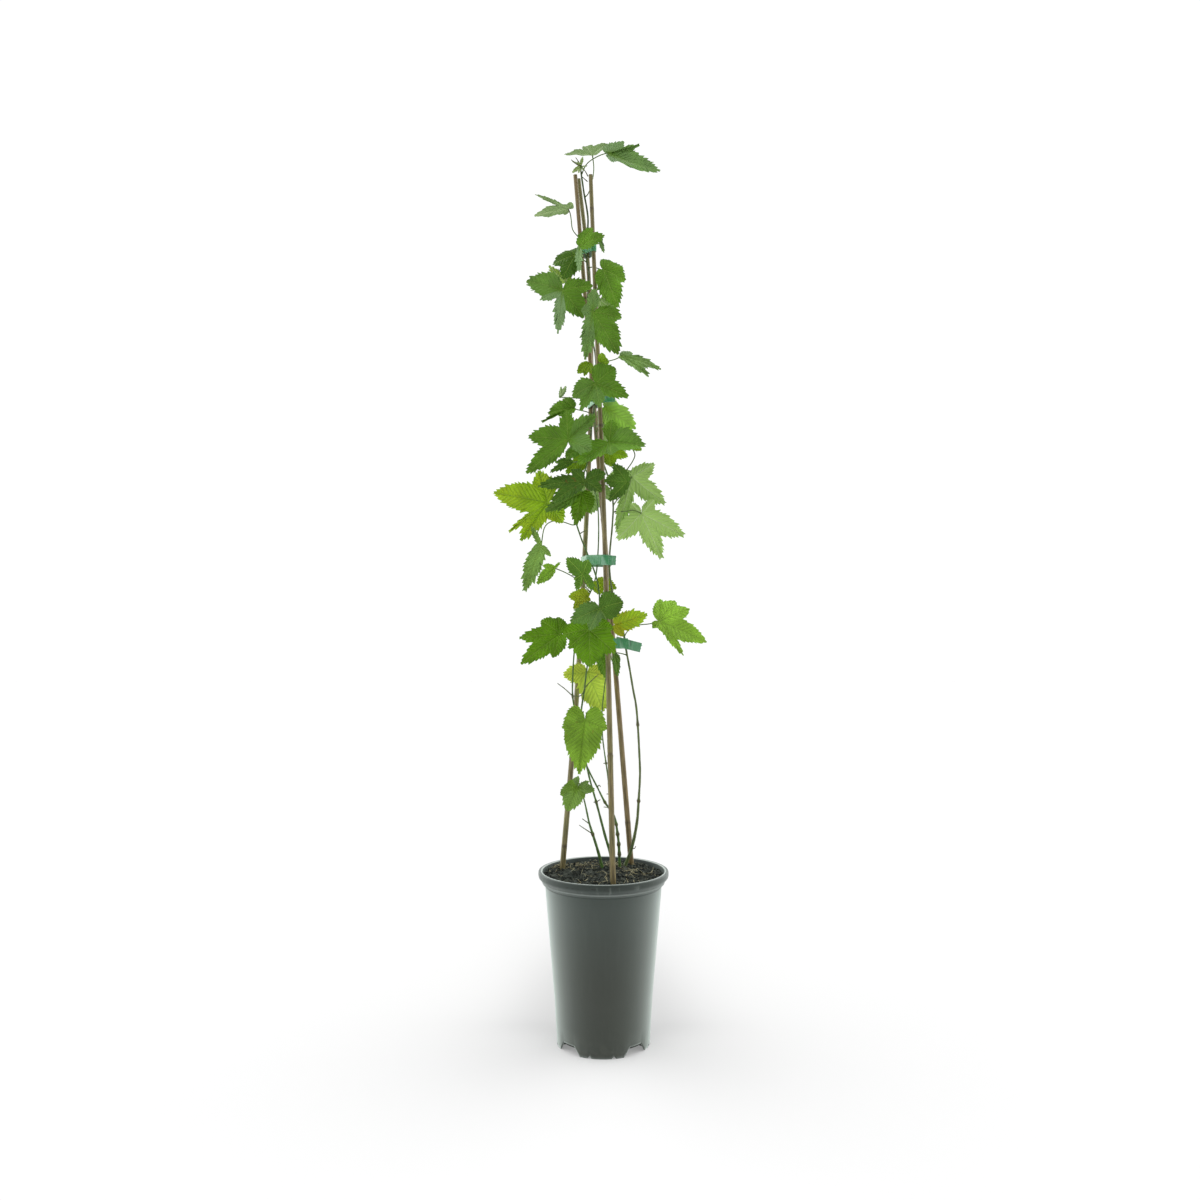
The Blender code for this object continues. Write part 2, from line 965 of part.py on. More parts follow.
def cane_route(cane):
    """The places of a cane from its foot deep in the compost to its top, with its radius at each."""
    above = np.array([seen(*place) for place in cane.route])
    bent = len(above) > STRAIGHT_CANE_PLACES
    line = smooth_route(above, BENT_CANE_PLACES if bent else STRAIGHT_CANE_PLACES)
    lean = (line[1] - line[0]) / np.linalg.norm(line[1] - line[0])
    foot = line[0] - lean * CANE_DEPTH_IN_COMPOST
    points = np.vstack([foot, line])
    height = (points[:, 2] - line[0, 2]) / (line[-1, 2] - line[0, 2])
    radii = np.interp(height, (0, 1), (CANE_FOOT_RADIUS, CANE_TOP_RADIUS))
    return cane.name, points, radii


def bine_route(bine):
    """The places of a bine, a few of them in the compost where it is rooted, with its radius at each."""
    line = smooth_route([seen(*place) for place in bine.route], len(bine.route) + 2)
    radii = np.linspace(bine.foot_radius, bine.tip_radius, len(line))
    if bine.rooted:
        foot = line[0] - np.array((0, 0, STEM_ROOT_DEPTH))
        line = np.vstack([foot, line])
        radii = np.concatenate([[bine.foot_radius], radii])
    return bine.name, line, radii


def place_on_route(route, down):
    """The place, radius and direction of a bine or cane at one level of the sheet."""
    _, points, radii = route
    away = (EYE_DISTANCE + points[:, 1]) / SHEET_REACH
    levels = SHEET_MIDDLE + (EYE_HEIGHT - points[:, 2]) / away
    order = np.argsort(levels)
    place, ahead = (
        np.array([np.interp(level, levels[order], points[order, axis]) for axis in range(3)])
        for level in (down, down - 2)
    )
    way = (ahead - place) / max(np.linalg.norm(ahead - place), 1e-6)
    return place, float(np.interp(down, levels[order], radii[order])), way


def turned_about(vectors, axis, angles):
    """Vectors turned about an axis by angles, by the axis and angle formula."""
    cos, sin = np.cos(angles)[:, None], np.sin(angles)[:, None]
    along = (vectors @ axis)[:, None] * axis
    return vectors * cos + np.cross(axis, vectors) * sin + along * (1 - cos)


class Blade:
    """The shape of a leaf's blade: lobes fanned round the junction.

    A place on the blade is a turn round the junction and a reach from it. Between two lobes
    the direction swings evenly from one midrib to the next, and past the outer lobes it turns
    on about the blade's own axis until both sides meet behind the stalk.
    """

    def __init__(self, leaf):
        self.centre = seen(*leaf.junction)
        spokes = np.array([seen(*lobe[:3]) for lobe in leaf.lobes]) - self.centre
        self.lengths = np.linalg.norm(spokes, axis=1)
        self.spokes = spokes / self.lengths[:, None]
        self.half_widths = np.array([lobe[3] for lobe in leaf.lobes], float)
        self.arch, self.fold = leaf.arch, leaf.fold
        crossed = np.cross(self.spokes[:-1], self.spokes[1:])
        self.axis = crossed.sum(axis=0) / np.linalg.norm(crossed.sum(axis=0))
        turns = np.arccos(np.clip((self.spokes[:-1] * self.spokes[1:]).sum(axis=1), -1, 1))
        self.turns = np.concatenate([[0], np.cumsum(turns)])
        self.middle = self.spokes.mean(axis=0) / np.linalg.norm(self.spokes.mean(axis=0))

    def width(self, k, t):
        """The half width of lobe k at a share t of its midrib: full in the middle, drawn in to a point."""
        return self.half_widths[k] * (1 - t) ** LOBE_POINT * (LOBE_ROOT + LOBE_SWELL * t)

    def lobe_reach(self, k, offset):
        """How far lobe k reaches at an angle off its midrib."""
        t = np.linspace(1e-3, 1, 60)
        width = self.width(k, t)
        along = t * self.lengths[k]
        angle = np.arctan2(width, along)
        reach = np.interp(offset, angle[::-1], np.hypot(width, along)[::-1])
        fall = np.clip(1 - (offset - math.pi / 2) / (math.pi / 3), 0, 1)
        return np.where(offset > math.pi / 2, self.half_widths[k] * LOBE_ROOT * fall, reach)

    def reach(self, turn):
        """How far the blade reaches at a turn: the lobe that reaches furthest there."""
        reaches = [self.lobe_reach(k, np.abs(turn - at)) for k, at in enumerate(self.turns)]
        return np.maximum(np.max(reaches, axis=0), SINUS_RADIUS)

    def direction(self, turn):
        """The unit direction of each turn."""
        last = len(self.turns) - 1
        k = np.clip(np.searchsorted(self.turns, turn, side="right") - 1, 0, last - 1)
        gap = self.turns[k + 1] - self.turns[k]
        f = np.clip((turn - self.turns[k]) / gap, 0, 1)
        a, b = self.spokes[k], self.spokes[k + 1]
        swung = (a * np.sin((1 - f) * gap)[:, None] + b * np.sin(f * gap)[:, None]) / np.sin(gap)[:, None]
        before = turned_about(np.repeat(self.spokes[:1], len(turn), 0), self.axis, np.minimum(turn, 0))
        past = turned_about(
            np.repeat(self.spokes[-1:], len(turn), 0), self.axis, np.maximum(turn - self.turns[-1], 0)
        )
        chosen = np.where((turn < 0)[:, None], before, swung)
        return np.where((turn > self.turns[-1])[:, None], past, chosen)

    def place(self, turn, share):
        """The place at a share of the blade's reach: arched towards the tips, folded at each midrib."""
        reach = self.reach(turn) * share
        length = np.interp(turn, self.turns, self.lengths)
        t = np.clip(reach / length, 0, 1)
        off = np.min([np.abs(turn - at) for at in self.turns], axis=0)
        lift = self.arch * 4 * t * (1 - t) + self.fold * reach * np.sin(np.minimum(off, math.pi / 2))
        return self.centre + self.direction(turn) * reach[:, None] + self.axis * lift[:, None]

    def rim_turns(self):
        """The turns of the rim's corners: tips, shoulders, the notches between lobes, and the cleft."""
        found = []
        for k, at in enumerate(self.turns):
            found.append(at)
            for t in LOBE_SHOULDERS:
                shoulder = math.atan2(self.width(k, t), t * self.lengths[k])
                found += [at - shoulder, at + shoulder]
            if k + 1 < len(self.turns):
                between = np.linspace(at, self.turns[k + 1], 15)[1:-1]
                found.append(float(between[np.argmin(self.reach(between))]))
        spare = (math.tau - self.turns[-1]) / 2
        flank = min(spare * 0.5, math.pi / 2)
        found += [-flank, self.turns[-1] + flank]
        closing = self.turns[-1] + spare
        within = (-spare + CORNER_SPACING, closing - CORNER_SPACING)
        found = sorted(turn for turn in found if within[0] < turn < within[1])
        kept = found[:1]
        for turn in found[1:] + [closing]:
            if turn - kept[-1] > CORNER_SPACING:
                kept.append(turn)
            elif turn in self.turns:
                kept[-1] = turn
        return np.array(kept)


def stalk_rings(start, outward, end, approach, longest, side):
    """The rings of a leaf stalk from its foot to the blade, on a smooth bow, each with a few corners.

    The side is the way to the last ring's first corner, and the other rings follow it down the bow.
    """
    chord = end - start
    size = np.linalg.norm(chord)
    leaving = chord * STALK_FOOT_ALONG + outward * size * STALK_FOOT_OUTWARD
    leaving[2] += size * STALK_FOOT_RISE
    t = np.linspace(0, 1, STALK_RINGS + 1)[:, None]
    a, b, d = start, start + leaving, end
    c = end - approach * min(size * STALK_END_HANDLE, longest)
    line = (1 - t) ** 3 * a + 3 * (1 - t) ** 2 * t * b + 3 * (1 - t) * t**2 * c + t**3 * d
    tangents = np.gradient(line, axis=0)
    tangents /= np.linalg.norm(tangents, axis=1)[:, None]
    rings = []
    corners = math.tau * np.arange(STALK_SIDES) / STALK_SIDES
    for point, tangent in zip(line[::-1], tangents[::-1]):
        side = side - tangent * (side @ tangent)
        side = side / np.linalg.norm(side)
        other = np.cross(tangent, side)
        ring = np.outer(np.cos(corners), side) + np.outer(np.sin(corners), other)
        rings.append(point + STALK_RADIUS * ring)
    return rings[::-1]


def leaf_mesh(leaf, route):
    """The closed leaf: upper and under sheets that meet at the rim, and a stalk into the under sheet."""
    blade = Blade(leaf)
    turns = blade.rim_turns()
    count = len(turns)
    rim = blade.place(turns, np.full(count, 1.0))
    collar = blade.centre - blade.axis * (BLADE_THICKNESS + STALK_FLARE_DEPTH)
    stalk, corner_turns = leaf_stalk(leaf, blade, collar, route)
    if blade.lengths.max() > LARGE_LEAF_REACH:
        middle = blade.place(turns, np.full(count, MIDDLE_RING))
        below = middle - blade.axis * BLADE_THICKNESS * (1 - MIDDLE_RING * RIM_THINNING)
        blocks = [blade.centre[None, :], middle, rim, below]
    else:
        blocks = [blade.centre[None, :], rim]
    starts = [int(start) for start in np.cumsum([0] + [len(block) for block in blocks + stalk])]
    faces = [(0, starts[1] + i, starts[1] + (i + 1) % count) for i in range(count)]
    if len(blocks) > 2:
        faces += triangle_strip(starts[1], starts[2], count)
        faces += triangle_strip(starts[3], starts[2], count)
    stem = starts[len(blocks) : -1]
    faces += collar_faces(starts[len(blocks) - 1], turns, stem[-1], corner_turns)
    for a, b in zip(stem, stem[1:]):
        faces += quad_strip(a, b, STALK_SIDES)
    faces.append(tuple(stem[0] + i for i in range(STALK_SIDES)))
    return mesh_from(leaf.name, np.vstack(blocks + stalk), faces)


def leaf_stalk(leaf, blade, collar, route):
    """The stalk's rings from the bine to the blade's collar, and the turn of each corner of the last."""
    approach = blade.middle * STALK_END_FORWARD + blade.axis * STALK_END_UPWARD
    approach /= np.linalg.norm(approach)
    foot, radius, way = place_on_route(route, leaf.foot)
    outward = (collar - foot) - way * ((collar - foot) @ way)
    outward /= np.linalg.norm(outward)
    start = foot + outward * (radius + CONTACT_GAP + STALK_RADIUS)
    first = blade.direction(np.array([0.0]))[0]
    flat = first - blade.axis * (first @ blade.axis)
    flat /= np.linalg.norm(flat)
    longest = blade.lengths.max() * STALK_END_REACH
    stalk = stalk_rings(start, outward, collar, approach, longest, flat)
    corner_turns = math.tau * np.arange(STALK_SIDES) / STALK_SIDES
    spread = turned_about(np.repeat(flat[None, :], STALK_SIDES, 0), blade.axis, corner_turns)
    stalk[-1] = collar + STALK_RADIUS * spread
    return stalk, corner_turns


def triangle_strip(first, second, count):
    """The triangles between two rings, each quad split from the first ring, so that two sheets agree."""
    faces = []
    for i in range(count):
        j = (i + 1) % count
        faces += [(first + i, second + i, second + j), (first + i, second + j, first + j)]
    return faces


def quad_strip(first, second, count):
    """The faces between two rings of as many corners."""
    faces = []
    for i in range(count):
        j = (i + 1) % count
        faces.append((first + i, first + j, second + j, second + i))
    return faces


def collar_faces(ring, turns, stem, corner_turns):
    """The triangles between the blade's ring and the corners of the stalk's end, matched by their turn."""
    count, sides = len(turns), len(corner_turns)
    nearest = [int(np.round((turn % math.tau) / math.tau * sides)) % sides for turn in turns]
    faces = []
    for i in range(count):
        j = (i + 1) % count
        a, b = nearest[i], nearest[j]
        faces.append((ring + i, ring + j, stem + a))
        while a != b:
            step = (a + 1) % sides
            faces.append((ring + j, stem + step, stem + a))
            a = step
    return faces


def hull_outline(circles, count):
    """A taut loop round circles of (x, y, radius): in each direction, the furthest of them."""
    centres = np.array([c[:2] for c in circles])
    radii = np.array([c[2] for c in circles])
    middle = centres.mean(axis=0)
    points = []
    for angle in math.tau * np.arange(count) / count:
        way = np.array((math.cos(angle), math.sin(angle)))
        support = (centres - middle) @ way + radii
        best = int(np.argmax(support))
        points.append(centres[best] + way * radii[best])
    return np.array(points)


def tape_mesh(name, circles, height):
    """A band of tape drawn taut round what it ties."""
    count = TAPE_CORNERS
    inner = hull_outline([(x, y, r + TAPE_SLACK) for x, y, r in circles], count)
    outer = hull_outline([(x, y, r + TAPE_SLACK + TAPE_THICKNESS) for x, y, r in circles], count)
    low, high = height - TAPE_WIDTH / 2, height + TAPE_WIDTH / 2
    levels = ((inner, low), (outer, low), (outer, high), (inner, high))
    points = np.vstack([np.column_stack([ring, np.full(count, z)]) for ring, z in levels])
    faces = []
    for k in range(len(levels)):
        faces += quad_strip(k * count, (k + 1) % len(levels) * count, count)
    return mesh_from(name, points, faces)


def build_tape(tape, routes):
    """A tape round its canes and stems, with a tail that stands off to one side where it has one."""
    height = place_on_route(routes[tape.ties[0]], tape.down)[0][2]
    circles = []
    for _, points, radii in (routes[tied] for tied in tape.ties):
        order = np.argsort(points[:, 2])
        for level in (height - TAPE_WIDTH / 2, height, height + TAPE_WIDTH / 2):
            columns = (points[order, 0], points[order, 1], radii[order])
            circles.append([np.interp(level, points[order, 2], column) for column in columns])
    surface = material(tape.name + "_film", (0.08, 0.36, 0.2), 0.35, 0.85)
    band = add(tape.name, tape_mesh(tape.name, circles, height), surface)
    if not tape.tail:
        return
    root, tip = (seen(*end) for end in tape.tail)
    along = Vector(tip - root)
    up = along.cross(Vector((0, -1, 0))).normalized()
    side = up.cross(along).normalized()
    frame = Matrix.Translation(Vector((root + tip) / 2) * MM)
    turn = Matrix((along.normalized(), side, up)).transposed().to_4x4()
    size = (along.length, TAPE_THICKNESS, TAPE_WIDTH)
    name = tape.name + "_tail"
    cut(band, hidden(name, box_mesh(name, size, frame @ turn)), "UNION")


def main():
    for item in list(bpy.data.objects):
        bpy.data.objects.remove(item)
    cane_routes = [cane_route(cane) for cane in CANES]
    bine_routes = [bine_route(bine) for bine in BINES]
    routes = {route[0]: route for route in cane_routes + bine_routes}
    build_pot()
    rooted = [route for route, bine in zip(bine_routes, BINES) if bine.rooted]
    build_compost(cane_routes, rooted)
    for name, points, radii in cane_routes:
        surface = material(name + "_bamboo", (0.32, 0.22, 0.11), 0.55)
        add(name, tube_curve(name, points, radii, CANE_SIDES_RESOLUTION), surface)
    for name, points, radii in bine_routes:
        surface = material(name + "_skin", (0.09, 0.15, 0.035), 0.6)
        add(name, tube_curve(name, points, radii, BINE_SIDES_RESOLUTION), surface)
    for tape in TAPES:
        build_tape(tape, routes)
    for leaf in LEAVES:
        surface = material(leaf.name + "_blade", (0.13, 0.28, 0.03), 0.55)
        add(leaf.name, leaf_mesh(leaf, routes[leaf.bine]), surface)


main()
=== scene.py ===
"""A young hop plant in a nursery pot, tied up three bamboo canes, dressed for its looks.

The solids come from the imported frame. Every piece made here stands where its solid stands:
places on the plant are read on a front sheet, as "across" and "down" from its top left corner
with a "depth" behind the pot's axis, and FrontSheet.seen() turns them into millimetres.
"""

import logging
import math
from dataclasses import dataclass, field
from enum import Enum
from functools import lru_cache

import bpy
import numpy as np
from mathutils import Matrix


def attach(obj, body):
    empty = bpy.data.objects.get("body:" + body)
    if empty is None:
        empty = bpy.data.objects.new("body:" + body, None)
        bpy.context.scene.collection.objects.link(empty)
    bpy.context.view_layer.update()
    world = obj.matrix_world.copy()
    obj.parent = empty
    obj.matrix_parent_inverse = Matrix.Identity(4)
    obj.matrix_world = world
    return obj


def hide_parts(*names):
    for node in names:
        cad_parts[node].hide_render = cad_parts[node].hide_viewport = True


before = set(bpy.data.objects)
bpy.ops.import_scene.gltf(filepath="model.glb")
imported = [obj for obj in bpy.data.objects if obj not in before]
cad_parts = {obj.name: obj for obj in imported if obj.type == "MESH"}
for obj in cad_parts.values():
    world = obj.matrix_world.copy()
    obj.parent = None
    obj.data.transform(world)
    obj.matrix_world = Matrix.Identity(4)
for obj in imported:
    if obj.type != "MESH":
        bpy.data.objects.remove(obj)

Array = np.ndarray
Place = tuple[float, float, float]
Band = tuple[float, float]
Material = bpy.types.Material
MM = 0.001
LEVEL_MM = 1.15  # about how many millimetres a unit of level is at the pot's axis
WHITE = (1.0, 1.0, 1.0, 1.0)
BODY = "root"
LOG = logging.getLogger("hop_plant")


class Tone(Enum):
    """The greens of the blades: linear colours of the upper and the under face."""

    DEEP = ((0.0696, 0.166, 0.0144), (0.144, 0.264, 0.06))
    MID = ((0.102, 0.234, 0.0144), (0.204, 0.348, 0.084))
    SAP = ((0.106, 0.252, 0.0036), (0.216, 0.384, 0.06))
    SOFT = ((0.15, 0.282, 0.054), (0.252, 0.384, 0.144))
    BRIGHT = ((0.228, 0.432, 0.036), (0.324, 0.516, 0.132))
    LIME = ((0.252, 0.432, 0.012), (0.36, 0.528, 0.096))
    YOUNG = ((0.24, 0.372, 0.048), (0.312, 0.432, 0.108))
    # PALE is partly the leaf's own pale yellow-green and partly painted light, as if lit through from behind
    PALE = ((0.432, 0.576, 0.066), (0.48, 0.6, 0.144))


@dataclass(frozen=True)
class LeafPlan:
    """One leaf: its stalk's foot on a bine, the blade's junction, and its lobes.

    A lobe is its tip's across, down and depth, and its half width in millimetres. The lobes run
    anticlockwise round the stalk as the upper face is seen. Where the stalk's own route shows,
    via holds places on it from the bine to the blade. Arch is how far the lobes bow, and fold how
    steeply they rise off their midribs. Shade is the brightness of its greens: partly the leaf's own
    tone, and partly painted light that makes up for how much light reaches it. Pale is how far each
    lobe is painted with a blue-grey sheen, teeth the size of its teeth, point how fast its lobes
    narrow, warm how far it has flushed yellow, and specks how many brown spots it has, from 0 to 1.
    A small leaf with no solid of its own carries the name of the leaf that it belongs to.
    """

    name: str
    bine: str
    foot: float
    junction: Place
    tone: Tone
    lobes: tuple[tuple[float, float, float, float], ...]
    arch: float = 2.0
    fold: float = 0.22
    via: tuple[Place, ...] = ()
    shade: float = 1.0
    pale: tuple[float, ...] = ()
    teeth: float = 1.0
    point: float = 0.95
    warm: float = 0.0
    specks: float = 0.0
    carries: str = ""


@dataclass(frozen=True)
class BinePlan:
    """A climbing stem: its radius at both ends, its places on the sheet from low to high, the levels
    of its joints, and the routes of its twigs.
    """

    name: str
    foot_radius: float
    tip_radius: float
    rooted: bool
    route: tuple[Place, ...]
    joints: tuple[float, ...] = ()
    twigs: tuple[tuple[Place, ...], ...] = ()


@dataclass(frozen=True)
class CanePlan:
    """A bamboo cane: its places on the sheet from the compost up, and the levels of its rings."""

    name: str
    route: tuple[Place, ...]
    rings: tuple[float, ...]


@dataclass(frozen=True)
class TapePlan:
    """A turn of tie tape: its level on the sheet, what it holds, and its tail's two ends."""

    name: str
    down: float
    ties: tuple[str, ...]
    tail: tuple[Place, ...] = ()


CANES = (
    CanePlan("cane_front", ((612.9, 877, -52), (605.6, 568, -33), (590.6, 174.8, -8)), (756, 427, 210)),
    CanePlan("cane_back", ((631.6, 869, 44), (606.5, 560, 27), (575.2, 174.8, -5)), (823, 520, 300)),
    CanePlan(
        "cane_left",
        ((562.2, 871, 26), (576.6, 697, 27), (585.4, 540, 25), (590.4, 420, 21), (591.2, 350, 17),
         (587.8, 262, 11), (578.6, 178.8, 5)),
        (847, 610, 390, 240),
    ),
)

BINES = (
    BinePlan(
        "bine_right", 1.9, 1.2, True,
        ((624, 868, 24), (631, 850, 20), (636.7, 824, 14), (638.6, 801, 8), (640, 774, 0), (639.3, 753, -6),
         (637.7, 724, -12), (636, 705, -16), (633.2, 690, -20), (629.5, 668, -25), (626.2, 650, -28),
         (623, 630, -28), (617, 610, -26), (612, 590, -24), (609.6, 570, -21), (609.8, 553, -19),
         (612.4, 524, -15), (613, 502, -12), (609, 480, -10), (603, 462, -10), (598, 445, -13),
         (595, 425, -14), (594.5, 405, -14)),
        joints=(801, 724),
        twigs=(
            ((613, 512, -12), (617.9, 510.7, -14)),
            ((602, 413, -16), (604, 425, -18), (607.7, 440.6, -24)),
            ((631.8, 848, 19), (634.5, 848.4, 16), (635.8, 846, 15)),
            ((638.7, 800.5, 8), (637.2, 800.2, 5)),
        ),
    ),
    BinePlan(
        "bine_middle", 1.5, 1.0, True,
        ((619.8, 868, 20), (619, 848, 19), (617.6, 834, 17), (614, 816, 12), (604.8, 802, 4),
         (597.2, 787, -2), (589, 771, -6), (583.2, 757, -7), (578.5, 738, -4), (575.3, 714, 0),
         (572.6, 696, 3), (572.8, 676, 4), (574.9, 645, 4), (579, 622, 3), (587, 600, 3), (595, 580, 4),
         (597.9, 554, 5), (598.6, 524, 5), (597, 500, 4), (592.5, 482, 3)),
        joints=(696, 802, 824, 834, 844, 854),
        twigs=(
            ((572.6, 696, 3), (565, 689, -4), (557.3, 683.2, -10)),
            ((572.6, 696, 3), (581, 695.5, -4), (585.6, 687, -8), (598.6, 674, -14)),
            ((597.2, 787, -2), (599.4, 785.2, -5), (600.6, 787, -6)),
            ((604.8, 802, 4), (608.6, 807, 2), (603.5, 807, 0)),
        ),
    ),
    BinePlan(
        "bine_inner", 1.6, 1.1, True,
        ((612, 868, 16), (610, 852, 15), (606, 839, 13), (600.4, 818, 10), (596.2, 802, 8), (590, 780, 8),
         (585, 757, 8), (581, 716, 6), (584.4, 690, 1), (587, 668, -6), (593.5, 636, -13),
         (599.5, 606, -16), (597, 580, -16), (587.5, 554, -14), (580, 535, -14), (575, 516, -15),
         (576.5, 495, -16), (583, 476, -14), (588.5, 458, -10), (590.5, 440, -7)),
        joints=(802, 606),
        twigs=(
            ((596.2, 802, 8), (600.5, 799.5, 6)),
            ((596.2, 802, 8), (593.4, 802.2, 7)),
            ((579.5, 534, -14), (583.5, 531.5, -15), (587, 530.6, -16)),
        ),
    ),
    BinePlan(
        "bine_short", 1.7, 1.0, True,
        ((603.6, 872, 10), (598.5, 853, 4), (592.7, 834, -2), (589.5, 824, -4), (584.4, 801, -8),
         (581, 790, -9)),
        joints=(834,),
        twigs=(((592.7, 834, -2), (585, 829, -6), (579, 825, -9)), ((589.5, 824, -4), (582, 818.5, -9))),
    ),
    BinePlan(
        "bine_side", 1.2, 0.8, False,
        ((609, 795, -2), (608.2, 780, -5), (606, 763, -8), (602.8, 739, -10), (602, 713, -10),
         (604.2, 690, -12), (606, 672, -14), (606, 652, -18)),
        joints=(763,),
        twigs=(
            ((606, 763, -8), (603.4, 763.4, -10)), ((606, 763, -8), (608.6, 763, -9)),
            ((608.6, 794, -2), (606.6, 794, -4)),
        ),
    ),
    BinePlan(
        "bine_lead", 1.3, 0.95, False,
        ((590.7, 436, -6.5), (592.5, 418, -6), (595, 398, -4), (596.5, 378, -2), (595.5, 358, -2),
         (592.5, 338, -4), (589.5, 318, -7), (587.7, 300, -9), (588.3, 284, -9), (589, 272, -8),
         (587, 262, -6), (586.3, 247, -4), (587.6, 232, -3), (588, 219, -3), (586.7, 208, -4),
         (584.5, 196, -5), (582.5, 183, -6), (581, 172, -7)),
        twigs=(
            ((588, 176.4, -6), (585.4, 171.5, -7), (582.7, 168, -8)),
            ((580.5, 166.5, -8), (575.5, 163.5, -10), (571, 159.5, -12)),
            ((580.5, 165, -8), (577.8, 160.5, -9), (575.5, 157.5, -10)),
            ((587.6, 181.7, -5), (584.6, 179, -6), (582.4, 177, -7)),
        ),
    ),
)

TAPES = (
    TapePlan("tape_top", 247, ("cane_front", "cane_back", "cane_left", "bine_lead")),
    TapePlan(
        "tape_upper", 397.5, ("cane_front", "cane_back", "cane_left", "bine_lead"),
        ((597.5, 397.5, -26), (616, 397, -27)),
    ),
    TapePlan(
        "tape_middle", 560,
        ("cane_front", "cane_back", "cane_left", "bine_right", "bine_middle", "bine_inner"),
        ((604, 560, -36.6), (616.5, 560.5, -37.4)),
    ),
    TapePlan("tape_flag", 643.5, ("cane_front", "bine_right"), ((618, 642, -34.5), (642, 648, -36))),
)

